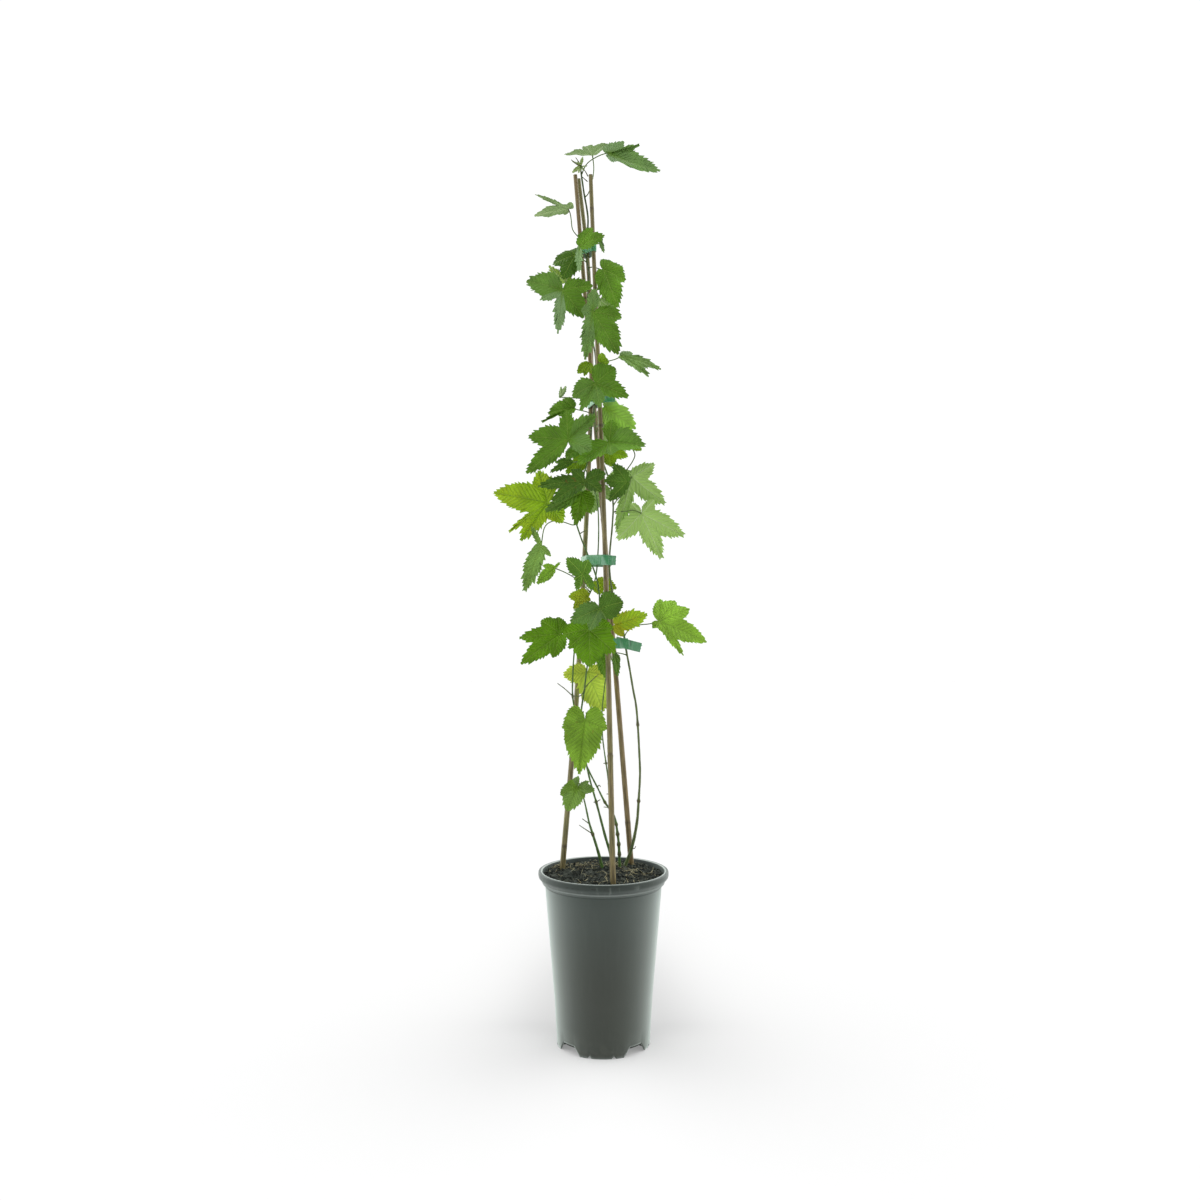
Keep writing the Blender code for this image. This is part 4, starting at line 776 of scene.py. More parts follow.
class Graph(Nodes):
    """The node graph of one material, with its Principled shader."""

    def __init__(self, name: str) -> None:
        """Starts a material of this name."""
        self.material = bpy.data.materials.new(name)
        self.material.use_nodes = True
        super().__init__(self.material.node_tree)
        self.shader = self.tree.nodes["Principled BSDF"]
        self.place = self.add("ShaderNodeTexCoord").outputs["Object"]

    def blend(self, share: Value, first: object, second: object) -> Socket:
        """A colour between two.

        Args:
            share: how far it is from the first to the second.
            first: a colour, as a socket or as its red, green and blue.
            second: the other.

        Returns:
            The colour.
        """
        node = self.add("ShaderNodeMix", data_type="RGBA")
        for entry, value in ((node.inputs[0], share), (node.inputs[6], first), (node.inputs[7], second)):
            self.join(entry, (*value, 1.0) if isinstance(value, tuple) else value)
        return node.outputs[2]

    def coats(self, colour: object, *coats: tuple) -> Socket:
        """A colour with others laid over it in turn.

        Args:
            colour: the colour below.
            *coats: a colour, and the shares whose product says how far it covers what is below.

        Returns:
            The colour of them all.
        """
        for over, cover, *shares in coats:
            for share in shares:
                cover = self.times(cover, share)
            colour = self.blend(cover, colour, over)
        return colour

    def noise(
        self, scale: float, detail: float = 3.0, stretch: Place | None = None, source: Socket | None = None
    ) -> Socket:
        """Soft noise between 0 and 1.

        Args:
            scale: waves in a metre, or in a unit of the source.
            detail: how many finer layers it has.
            stretch: a factor on each axis first, if any.
            source: the coordinates, or the object's own when None.

        Returns:
            The noise's value.
        """
        at = self.place if source is None else source
        if stretch:
            at = self.add("ShaderNodeMapping", {"Vector": at, "Scale": stretch}).outputs[0]
        return self.add("ShaderNodeTexNoise", {"Vector": at, "Scale": scale, "Detail": detail}).outputs["Fac"]

    def mark(self, name: str) -> Socket:
        """The value of one of the mesh's own marks."""
        return self.add("ShaderNodeAttribute", attribute_name=name).outputs["Fac"]

    def map(self) -> tuple[Socket, ...]:
        """The two coordinates of the piece's own map."""
        return self.parts(self.add("ShaderNodeUVMap", uv_map="surface").outputs[0])[:2]

    def finish(
        self, colour: object, roughness: Value, height: Socket | None, depth: float, gloss: float
    ) -> Material:
        """Wires the shader.

        Args:
            colour: the base colour.
            roughness: the roughness.
            height: what the bump follows, if anything.
            depth: how deep the bump is, in metres.
            gloss: the specular level.

        Returns:
            The finished material.
        """
        entries = {"Base Color": colour, "Roughness": roughness, "Specular IOR Level": gloss}
        if height is not None:
            bump = self.add("ShaderNodeBump", {"Height": height, "Distance": depth, "Strength": 1.0})
            entries["Normal"] = bump.outputs[0]
        for name, value in entries.items():
            self.join(self.shader.inputs[name], value)
        return self.material


@dataclass(frozen=True)
class BladeFinish:
    """A leaf's skin: veins, puffed fields between them painted lighter as if lit, a fine net, mottling,
    specks, a paler back, and a painted blue-grey sheen on some lobes.

    Midrib, side_vein, field and rib_field are where these veins and fields end and begin, and the
    shares are how strongly each of them shows; the fields' lighter colour is painted light.
    """

    tone: Tone
    vein_colour: Place = (0.27, 0.43, 0.07)
    back_vein: Place = (0.42, 0.56, 0.25)
    speck_colour: Place = (0.26, 0.11, 0.02)
    flush_colour: Place = (0.46, 0.4, 0.02)
    # painted sheen: the blue-grey that some lobes are blended towards
    painted_sheen: Place = (0.27, 0.42, 0.2)
    stalk_colour: Place = (0.12, 0.2, 0.05)
    stalk_flush: Place = (0.075, 0.1, 0.035)
    midrib: Band = (0.7, 0.2)
    side_vein: Band = (0.13, 0.02)
    field: Band = (0.06, 0.46)
    rib_field: Band = (0.0, 2.5)
    # how strongly the fields' painted light shows
    painted_field_light: float = 0.29
    side_shares: Band = (0.26, 0.45)
    midrib_shares: Band = (0.45, 0.7)
    upper_contrast: Band = (0.74, 1.26)
    under_contrast: Band = (0.84, 1.14)
    relief: float = 0.00065

    def shaded(self, colour: Place, factor: float) -> Place:
        """The colour, lighter or darker by this factor."""
        return tuple(factor * part for part in colour)

    def material(self) -> Material:
        """Makes the material. Its map is (side veins counted from the tip, millimetres off the midrib).

        Returns:
            The material.
        """
        g = Graph(f"hop_blade_{self.tone.name.lower()}")
        count, off = g.map()
        beside, gap = g.maths("ABSOLUTE", off), g.maths("PINGPONG", count, 0.5)
        midrib = g.spread(beside, *self.midrib)
        side = g.times(g.spread(gap, *self.side_vein), g.spread(g.mark("share"), 1.0, 0.8))
        puffed = g.times(g.spread(gap, *self.field), g.spread(beside, *self.rib_field))
        cells = g.add("ShaderNodeTexVoronoi", {"Vector": g.place, "Scale": 520.0}, feature="DISTANCE_TO_EDGE")
        net = g.spread(cells.outputs["Distance"], 0.12, 0.0)
        mottle, under = g.noise(42.0), g.mark("under")
        upper_colour, under_colour = self.tone.value
        dark, light = (self.shaded(upper_colour, factor) for factor in self.upper_contrast)
        upper = g.coats(
            dark,
            (light, g.spread(mottle, 0.3, 0.7)),
            # painted light: the puffed fields between the veins lighter, as if lit from above
            (light, puffed, self.painted_field_light),
            (self.vein_colour, g.spread(g.noise(300.0, 2.0), 0.45, 0.8), 0.08),
            (self.vein_colour, side, self.side_shares[0]),
            (self.vein_colour, midrib, self.midrib_shares[0]),
            (dark, net, 0.08),
        )
        back = g.coats(
            self.shaded(under_colour, self.under_contrast[0]),
            (self.shaded(under_colour, self.under_contrast[1]), mottle),
            (upper_colour, net, 0.2),
            (self.back_vein, side, self.side_shares[1]),
            (self.back_vein, midrib, self.midrib_shares[1]),
        )
        yellowed = g.spread(g.noise(30.0, 2.0), 0.36, 0.62)
        spots, groups = g.spread(g.noise(230.0, 1.0), 0.66, 0.72), g.spread(g.noise(45.0, 1.0), 0.45, 0.6)
        colour = g.coats(
            upper,
            (back, under),
            # painted sheen: some lobes blended towards blue-grey, as light reflected off them
            (self.painted_sheen, g.mark("pale")),
            (self.flush_colour, g.mark("warm"), yellowed, g.spread(gap, 0.02, 0.3, 0.35, 1.0)),
            (self.speck_colour, spots, groups, g.mark("specks")),
        )
        # shade scales each leaf's brightness: partly its own tone, partly painted light for how much light
        # reaches it
        colour = g.add("ShaderNodeHueSaturation", {"Color": colour, "Value": g.mark("shade")}).outputs[0]
        skin = g.blend(g.spread(g.noise(90.0), 0.5, 0.7), self.stalk_colour, self.stalk_flush)
        raised = g.times(puffed, 0.8)
        for sunk, depth in ((midrib, 0.7), (side, 0.4), (net, 0.06)):
            raised = g.maths("SUBTRACT", raised, g.times(sunk, depth))
        raised = g.times(raised, g.maths("MULTIPLY_ADD", under, -1.8, 1.0))
        height = g.maths("ADD", raised, g.times(mottle, 0.4))
        roughness = g.spread(mottle, 0.2, 0.8, 0.4, 0.58)
        return g.finish(g.blend(g.mark("stalk"), colour, skin), roughness, height, self.relief, 0.15)


@dataclass(frozen=True)
class BineFinish:
    """A climbing stem's ridged skin: green, flushed brown along its ridges and at its joints."""

    green: Place = (0.085, 0.19, 0.035)
    flush: Place = (0.052, 0.088, 0.026)
    pale: Place = (0.2, 0.28, 0.1)
    bark: Place = (0.1, 0.06, 0.032)
    wind: float = 0.02
    ridges: float = 6.0
    relief: float = 0.0003

    def material(self) -> Material:
        """Makes the material. Its map is (share round, millimetres along).

        Returns:
            The material.
        """
        g = Graph(f"hop_bine_skin_{round(self.green[1] * 1000)}")
        around, along = g.map()
        lean = g.maths("MULTIPLY_ADD", along, self.wind, around)
        ridge = g.maths("PINGPONG", g.times(lean, self.ridges), 0.5)
        streak = g.noise(5.0, 4.0, source=g.pair(around, g.times(along, self.wind)))
        colour = g.coats(
            self.green,
            (self.flush, g.spread(streak, 0.42, 0.6)),
            (self.pale, g.spread(ridge, 0.25, 0.5), 0.4),
            (self.green, g.spread(g.noise(30.0), 0.5, 0.7), 0.5),
            (self.bark, g.mark("joint"), 0.75),
        )
        height = g.maths("ADD", g.times(ridge, 0.7), g.noise(900.0, 2.0))
        return g.finish(colour, 0.5, height, self.relief, 0.3)


@dataclass(frozen=True)
class BambooFinish:
    """A cane's dry skin: long straw and brown fibres, dark bands at its rings, green bloom in places."""

    straw: Place = (0.22, 0.175, 0.068)
    brown: Place = (0.09, 0.068, 0.028)
    weathered: Place = (0.3, 0.25, 0.13)
    green: Place = (0.16, 0.24, 0.06)
    ring: Place = (0.05, 0.034, 0.018)
    bloom: float = 0.0
    fibres: Band = (6.0, 0.02)
    relief: float = 0.00025

    def material(self) -> Material:
        """Makes the material. Its map is (share round, millimetres along).

        Returns:
            The material.
        """
        g = Graph(f"bamboo_skin_{round(self.bloom * 10)}_{round(self.straw[0] * 100)}")
        around, along = g.map()
        spot = g.pair(g.times(around, self.fibres[0]), g.times(along, self.fibres[1]))
        fibre = g.noise(2.2, 5.0, source=spot)
        colour = g.coats(
            self.brown,
            (self.straw, g.spread(fibre, 0.35, 0.65)),
            (self.weathered, g.spread(g.noise(26.0), 0.4, 0.7), 0.3),
            (self.green, g.spread(g.noise(14.0), 0.4, 0.6), self.bloom),
            (self.ring, g.mark("joint"), 0.85),
        )
        height = g.maths("ADD", fibre, g.times(g.noise(500.0, 2.0), 0.3))
        return g.finish(colour, g.spread(fibre, 0.2, 0.8, 0.38, 0.55), height, self.relief, 0.45)


@dataclass(frozen=True)
class FilmFinish:
    """The tie tape's soft green film, see-through where it is single, paler along its creases."""

    green: Place = (0.062, 0.29, 0.115)
    pale: Place = (0.3, 0.55, 0.38)
    dark: Place = (0.02, 0.12, 0.06)
    cover: float = 0.78
    relief: float = 0.0002

    def material(self) -> Material:
        """Makes the material. Its map is (millimetres along, share across).

        Returns:
            The material.
        """
        g = Graph("tie_film")
        along, across = g.map()
        crease = g.noise(1.2, source=g.pair(g.times(along, 0.35), across))
        colour = g.coats(
            self.green,
            (self.pale, g.spread(crease, 0.45, 0.75), 0.4),
            (self.pale, g.spread(g.maths("PINGPONG", across, 0.5), 0.07, 0.0), 0.3),
            (self.pale, g.mark("worn")),
            (self.dark, g.mark("crease")),
        )
        g.join(g.shader.inputs["Alpha"], self.cover)
        return g.finish(colour, g.spread(crease, 0.3, 0.7, 0.3, 0.42), crease, self.relief, 0.4)


@dataclass(frozen=True)
class PotFinish:
    """The pot's moulded plastic: near black, scuffed upright on its collar, with dust towards its foot.
    Painted light makes its upper body and its mouth's inner wall lighter, and the lip and the bead
    carry a painted highlight.

    The bands are the heights, or the reaches from the axis, in metres over which a part begins or
    ends: the collar, the bead's painted highlight under it, the lip's painted highlight line, the
    mouth's inner wall with its painted light, and the sheen.
    """

    dark: Place = (0.012, 0.013, 0.006)
    grey: Place = (0.017, 0.019, 0.01)
    # painted light: the body's lighter tone towards the top
    upper: Place = (0.03, 0.042, 0.037)
    scuff: Place = (0.15, 0.17, 0.15)
    stain: Place = (0.01, 0.012, 0.008)
    dust: Place = (0.16, 0.15, 0.12)
    # painted highlight along the lip's inner top edge and, fainter, on the bead
    painted_highlight: Place = (0.52, 0.58, 0.55)
    # painted light on the mouth's inner wall
    inner: Place = (0.06, 0.074, 0.07)
    collar: tuple[Band, Band] = ((0.182, 0.186), (0.197, 0.193))
    bead: tuple[Band, Band] = ((0.184, 0.1845), (0.1863, 0.1859))
    lip: tuple[Band, Band] = ((0.1969, 0.1973), (0.0727, 0.0715))
    mouth: tuple[Band, Band] = ((0.1875, 0.1885), (0.0707, 0.0703))
    sheen_end: Band = (0.1795, 0.1815)
    sheen: Band = (0.94, 0.28)
    sheen_roughness: float = 0.565
    sheen_tint: tuple[float, ...] = (0.88, 1.0, 0.94, 1.0)
    relief: float = 0.00012

    def material(self) -> Material:
        """Makes the material.

        Returns:
            The material.
        """
        g = Graph("pot_plastic")
        x, y, height = g.parts(g.place)
        reach = g.distance(x, y)
        cloud, streaks = g.noise(14.0, 4.0), g.noise(190.0, 3.0, (1.0, 1.0, 0.06))
        collar, bead = (
            g.times(g.spread(height, *low), g.spread(height, *high)) for low, high in (self.collar, self.bead)
        )
        lip, mouth = (
            g.times(g.spread(height, *up), g.spread(reach, *out)) for up, out in (self.lip, self.mouth)
        )
        colour = g.coats(
            self.dark,
            (self.grey, g.spread(cloud, 0.3, 0.75)),
            # painted light: the body lighter towards the top, as light from above falls there
            (self.upper, g.spread(height, 0.07, 0.19, 0.0, 0.75)),
            (self.scuff, g.spread(streaks, 0.55, 0.72), g.maths("MULTIPLY_ADD", collar, 0.4, 0.025)),
            (self.stain, g.spread(g.noise(330.0, 2.0), 0.62, 0.7), g.maths("MULTIPLY_ADD", collar, 0.6, 0.1)),
            (self.dust, g.spread(height, 0.03, 0.0), g.spread(g.noise(120.0), 0.4, 0.7), 0.12),
            # painted light: the mouth's inner wall lighter, as if lit
            (self.inner, mouth),
            # painted highlight: a pale line along the lip's inner top edge and a fainter one on the bead
            (self.painted_highlight, g.maths("MAXIMUM", lip, g.times(bead, 0.42)), 0.75),
        )
        g.join(g.shader.inputs["Sheen Weight"], g.spread(height, *self.sheen_end, *self.sheen))
        g.join(g.shader.inputs["Sheen Roughness"], self.sheen_roughness)
        g.join(g.shader.inputs["Sheen Tint"], self.sheen_tint)
        grain = g.maths("ADD", g.times(g.noise(700.0, 2.0), 0.5), g.times(streaks, 0.2))
        return g.finish(colour, g.spread(cloud, 0.3, 0.7, 0.34, 0.42), grain, self.relief, 0.2)


@dataclass(frozen=True)
class SoilFinish:
    """Compost: dark damp fibre with paler crumbs and grit."""

    dark: Place = (0.02, 0.025, 0.021)
    pale: Place = (0.072, 0.082, 0.066)
    grit: Place = (0.13, 0.125, 0.09)
    relief: float = 0.0012

    def material(self) -> Material:
        """Makes the material.

        Returns:
            The material.
        """
        g = Graph("compost_soil")
        coarse, fine = g.noise(170.0, 5.0), g.noise(900.0)
        colour = g.coats(
            self.dark,
            (self.pale, g.spread(coarse, 0.38, 0.68)),
            (self.grit, g.spread(fine, 0.62, 0.78), 0.3),
        )
        return g.finish(colour, 0.92, g.maths("ADD", coarse, g.times(fine, 0.5)), self.relief, 0.2)


@dataclass(frozen=True)
class StrawFinish:
    """Dry straw and bark fibres in the compost."""

    pale: Place = (0.44, 0.41, 0.25)
    dark: Place = (0.07, 0.058, 0.03)
    relief: float = 0.0003

    def material(self) -> Material:
        """Makes the material.

        Returns:
            The material.
        """
        g = Graph("compost_straw")
        colour = g.blend(g.spread(g.noise(120.0), 0.4, 0.58), self.dark, self.pale)
        return g.finish(colour, 0.8, g.noise(800.0, 2.0), self.relief, 0.25)


Finish = BladeFinish | BineFinish | BambooFinish | FilmFinish | PotFinish | SoilFinish | StrawFinish


@lru_cache(maxsize=None)
def dressed(finish: Finish) -> Material:
    """The finish's material, made once."""
    return finish.material()


@dataclass
class NurseryPot:
    """A thin moulded pot: a turned wall with a collar, a lip, and feet cut between four arches."""

    wall: float = 1.4
    floor_height: float = 6.0
    floor_reach: float = 44.5
    columns: int = 288
    turn: float = -0.04
    arch_half_width: float = 16.4
    arch_height: float = 10.2
    arch_slope: float = 7.6
    notch_offset: float = 13.8
    notch_half_width: float = 2.5
    notch_height: float = 2.7
    warp_reach: float = 26.0
    collar_height: float = 181.0
    floor_overlap: float = 0.4
    finish: PotFinish = PotFinish()

    OUTLINE = (
        (53.6, 0.0), (53.8, 6.0), (54.4, 16.0), (55.5, 36.0), (56.5, 52.0), (59.4, 88.0), (61.0, 106.0),
        (62.4, 122.0), (63.8, 140.0), (65.2, 157.0), (66.5, 172.0), (67.0, 179.6), (67.2, 181.2),
        (67.7, 182.0), (68.6, 182.7), (69.6, 183.4), (70.2, 183.9), (70.5, 184.5), (70.6, 185.2),
        (70.5, 185.7), (70.4, 186.0), (70.8, 186.4), (71.6, 187.3), (73.0, 188.9), (74.2, 190.4),
        (74.75, 191.4), (75.0, 192.6), (75.0, 195.4), (74.9, 196.5), (74.6, 197.1), (74.1, 197.4),
        (73.4, 197.5), (71.4, 197.6), (70.8, 197.5), (70.4, 197.2),
    )
    INSIDE = ((70.2, 196.6), (70.1, 195.6), (69.8, 193.0), (69.5, 190.0), (68.4, 183.0), (66.4, 180.5))

    def low_edge(self, angle: Array) -> Array:
        """How far the foot's edge is raised at each angle.

        Each arch is a trapezium between two sloped sides, and each foot between arches has two
        small notches shaped as a V, one near each end.

        Args:
            angle: radians round the pot.

        Returns:
            The height of the edge in millimetres.
        """
        foot, quarter = self.OUTLINE[0][0], math.tau / 4
        off_arch, off_foot = (
            np.abs((angle - self.turn + shift) % quarter - quarter / 2) * foot for shift in (0, quarter / 2)
        )
        arch = np.clip((self.arch_half_width - off_arch) / self.arch_slope, 0, 1)
        notch = np.clip(1 - np.abs(off_foot - self.notch_offset) / self.notch_half_width, 0, 1)
        return np.maximum(arch * self.arch_height, notch * self.notch_height)

    def angles(self) -> Array:
        """The angles of the wall's columns: even ones, and more at the corners of arches and notches.

        Returns:
            The angles in radians, in rising order.
        """
        quarter, foot = math.tau / 4, self.OUTLINE[0][0]
        arch, slope, half = self.arch_half_width, self.arch_slope, self.notch_half_width
        corners = (arch, arch - slope, arch - slope / 2)
        notches = (self.notch_offset, self.notch_offset - half, self.notch_offset + half)
        extra = [
            quarter * (k + turn) + sign * place / foot
            for turn, places in ((0.5, corners), (0, notches)) for k in range(4) for place in places
            for sign in (-1, 1)
        ]
        even = np.linspace(0, math.tau, self.columns, endpoint=False)
        every = np.sort(np.concatenate([even, (np.array(extra) + self.turn) % math.tau]))
        return every[np.concatenate([[True], np.diff(every) > 1e-3])]

    def wall_patch(self) -> Patch:
        """The wall: its outline turned about the upright axis, outside and inside, joined at foot and lip.

        A place is (radius cos a, radius sin a, height), with heights near the foot pushed up so that
        the lowest follows low_edge(a).

        Returns:
            The closed wall.
        """
        angle = self.angles()
        outer = np.array(self.OUTLINE)
        body = outer[outer[:, 1] < self.collar_height]
        finer = [np.linspace(0, self.warp_reach, 9), np.linspace(30, 176, 16)]
        heights = np.unique(np.concatenate([body[:, 1], *finer]))
        body_rows = np.column_stack([np.interp(heights, body[:, 1], body[:, 0]), heights])
        outer = np.vstack([body_rows, outer[len(body):]])
        below = outer[outer[:, 1] < self.INSIDE[-1][1] - 1]
        inner = below[::-1] - (self.wall, 0)
        profile = np.vstack([outer, self.INSIDE, inner])
        edge = self.low_edge(angle)[None, :]
        z = profile[:, 1][:, None]
        z = np.where(z < self.warp_reach, edge + z * (1 - edge / self.warp_reach), z)
        rows, columns = len(profile), len(angle)
        c = np.arange(columns)
        d = (c + 1) % columns
        last = (rows - 1) * columns
        closing = np.column_stack([last + c, last + d, d, c])
        return Patch(turned(profile[:, :1], angle, z), [grid_faces(rows, columns), closing])

    def floor_patch(self) -> Patch:
        """The floor: a round plate with shallow rings, cut back over each arch.

        Returns:
            The closed plate.
        """
        angle = self.angles()
        arch = self.low_edge(angle) > self.floor_height + 1
        reach = np.where(arch, self.floor_reach, self.OUTLINE[1][0] - self.wall + self.floor_overlap)
        shares = np.array([0.08, 0.25, 0.45, 0.6, 0.62, 0.8, 0.82, 1.0])
        dish = np.array([0.0, 0.0, 0.0, 0.0, 0.5, 0.5, 0.0, 0.0])
        top = self.floor_height + self.wall
        share = np.concatenate([shares, shares[::-1]])[:, None]
        z = np.concatenate([self.floor_height + dish, top + dish[::-1]])[:, None]
        centres = np.array([(0, 0, self.floor_height), (0, 0, top)])
        points = np.vstack([turned(share * reach, angle, z), centres])
        return Patch(points, capped_faces(len(share), len(angle)))

    def build(self) -> bpy.types.Object:
        """Makes the pot."""
        patch = joined([self.wall_patch(), self.floor_patch()])
        return make_piece("nursery_pot", patch, dressed(self.finish), ("pot",))


@dataclass
class CompostFill:
    """The compost: a lumpy mound with crumbs and straw on it."""

    edge_height: float = 192.0
    rise: float = 3.6
    edge_reach: float = 69.4
    foot_height: float = 7.7
    sides: tuple[Band, ...] = (
        (68.7, 187.0), (67.6, 183.6), (65.2, 179.0), (63.4, 157.0), (57.6, 88.0), (54.6, 54.0), (51.4, 7.7),
    )
    crumbs: int = 2200
    crumb_sizes: Band = (0.5, 2.0)
    straws: int = 150
    straw_lengths: Band = (6.0, 24.0)
    loose_share: float = 0.4
    heap_spread: float = 9.0
    straw_bend: float = 0.7
    straw_tilt: float = 2.0
    straw_base: float = 0.7
    straw_lifts: Band = (0.4, 2.2)
    straw_half_widths: Band = (0.1, 0.22)
    straw_half_height: float = 0.16
    straw_heaps: tuple[Band, ...] = ((-20, 35), (-28, 12), (-52, 30), (33, -5), (8, 28))
    soil: SoilFinish = SoilFinish()
    straw: StrawFinish = StrawFinish()

    LUMPS = ((1.1, 26, 3), (0.6, 9, 4), (0.3, 4, 5))  # height, size and seed

    def height(self, flat: Array) -> Array:
        """The mound's height: a low dome, with lumps of three sizes that fade towards the wall.

        Args:
            flat: places as (x, y) in millimetres, one row each.

        Returns:
            The height of the surface at each place.
        """
        share = np.linalg.norm(flat, axis=1) / self.edge_reach
        lumps = sum(height * ripples(flat, size, seed) for height, size, seed in self.LUMPS)
        lumps *= 1 - smooth_step(share, 0.93, 1.0)
        return self.edge_height + self.rise * (1 - share**2) + lumps

    def fill_patch(self) -> Patch:
        """The mound: rings of places out from the axis, then down the wall and back under.

        Returns:
            The closed body.
        """
        columns = 220
        angle = math.tau * np.arange(columns) / columns
        shares = np.linspace(0.015, 1, 62)[:, None]
        top = turned(self.edge_reach * shares, angle, 0.0)
        top[:, 2] = self.height(top[:, :2])
        sides = np.array([*self.sides, (1.0, self.foot_height)])
        below = turned(sides[:, :1], angle, sides[:, 1:])
        centres = np.array([(0, 0, top[:columns, 2].mean()), (0, 0, self.foot_height)])
        faces = capped_faces(len(shares) + len(sides), columns, flip=True)
        return Patch(np.vstack([top, below, centres]), faces)

    def crumb_patch(self) -> Patch:
        """The crumbs: one rough twenty-sided lump, stretched, turned and set down all over the mound.

        Returns:
            All the crumbs.
        """
        chance = np.random.default_rng(11)
        golden = (1 + math.sqrt(5)) / 2
        corners = unit(np.array([
            (-1, golden, 0), (1, golden, 0), (-1, -golden, 0), (1, -golden, 0), (0, -1, golden),
            (0, 1, golden), (0, -1, -golden), (0, 1, -golden), (golden, 0, -1), (golden, 0, 1),
            (-golden, 0, -1), (-golden, 0, 1),
        ]))
        sides = np.array([
            (0, 11, 5), (0, 5, 1), (0, 1, 7), (0, 7, 10), (0, 10, 11), (1, 5, 9), (5, 11, 4), (11, 10, 2),
            (10, 7, 6), (7, 1, 8), (3, 9, 4), (3, 4, 2), (3, 2, 6), (3, 6, 8), (3, 8, 9), (4, 9, 5),
            (2, 4, 11), (6, 2, 10), (8, 6, 7), (9, 8, 1),
        ])
        n = self.crumbs
        small, large = self.crumb_sizes
        size = small + (large - small) * chance.random(n) ** 2.2
        reach = (self.edge_reach - 1.5) * np.sqrt(chance.random((n, 1)))
        flat = reach * rays(chance.uniform(0, math.tau, n))
        centres = np.column_stack([flat, self.height(flat) + size * 0.35])
        shape = corners[None] * chance.uniform(0.65, 1.3, (n, 12, 1)) * chance.uniform(0.6, 1.3, (n, 1, 3))
        turn = np.linalg.qr(chance.normal(size=(n, 3, 3)))[0]
        turn *= np.sign(np.linalg.det(turn))[:, None, None]
        points = np.einsum("nij,nkj->nki", turn, shape) * size[:, None, None] + centres[:, None, :]
        faces = (sides[None] + 12 * np.arange(n)[:, None, None]).reshape(-1, 3)
        return Patch(points.reshape(-1, 3), [faces])

    def straw_patch(self) -> Patch:
        """The straws: thin bent strips, square across, laid over the mound.

        Returns:
            All the straws.
        """
        chance = np.random.default_rng(12)
        n, rows = self.straws, 6
        reach = (self.edge_reach - 6) * np.sqrt(chance.random((n, 1)))
        spread = reach * rays(chance.uniform(0, math.tau, n))
        heaps = np.array(self.straw_heaps)
        heaped = heaps[chance.integers(0, len(heaps), n)] + chance.normal(0, self.heap_spread, (n, 2))
        at = np.where(chance.random((n, 1)) < self.loose_share, spread, heaped)
        at *= np.minimum(1, (self.edge_reach - 7) / np.maximum(np.linalg.norm(at, axis=1, keepdims=True), 1))
        ahead = rays(chance.uniform(0, math.tau, n))[:, None]
        aside = ahead[..., ::-1] * (-1, 1)
        short, long = self.straw_lengths
        length = short + (long - short) * chance.random((n, 1, 1)) ** 1.4
        t = np.linspace(-0.5, 0.5, rows)[:, None]
        bend = chance.normal(0, self.straw_bend, (n, 1, 1)) * t**2
        flat = at[:, None] + length * (t * ahead + bend * aside)
        lift = chance.uniform(*self.straw_lifts, (n, 1, 1)) * (0.6 + 1.4 * np.abs(t))
        tilt = chance.normal(0, self.straw_tilt, (n, 1, 1)) * t
        z = self.height(flat.reshape(-1, 2)).reshape(n, rows, 1) + self.straw_base + lift + tilt
        middle = np.concatenate([flat, z], axis=-1)
        across = np.concatenate([aside, np.zeros((n, 1, 1))], axis=-1)
        wide = across * chance.uniform(*self.straw_half_widths, (n, 1, 1))
        up = np.array((0, 0, self.straw_half_height))
        left, right = middle - wide, middle + wide
        ring = np.stack([left - up, right - up, right + up, left + up], axis=2)
        last = rows * 4 - 1
        ends = np.array([(0, 1, 2, 3), (last, last - 1, last - 2, last - 3)])
        one = np.vstack([grid_faces(rows, 4, flip=True), ends])[:, ::-1]
        faces = (one[None] + rows * 4 * np.arange(n)[:, None, None]).reshape(-1, 4)
        return Patch(ring.reshape(-1, 3), [faces])

    def build(self) -> None:
        """Makes the mound, its crumbs and its straws."""
        make_piece("compost_mound", self.fill_patch(), dressed(self.soil), ("compost",))
        make_piece("compost_crumbs", self.crumb_patch(), dressed(self.soil))
        make_piece("compost_straws", self.straw_patch(), dressed(self.straw))


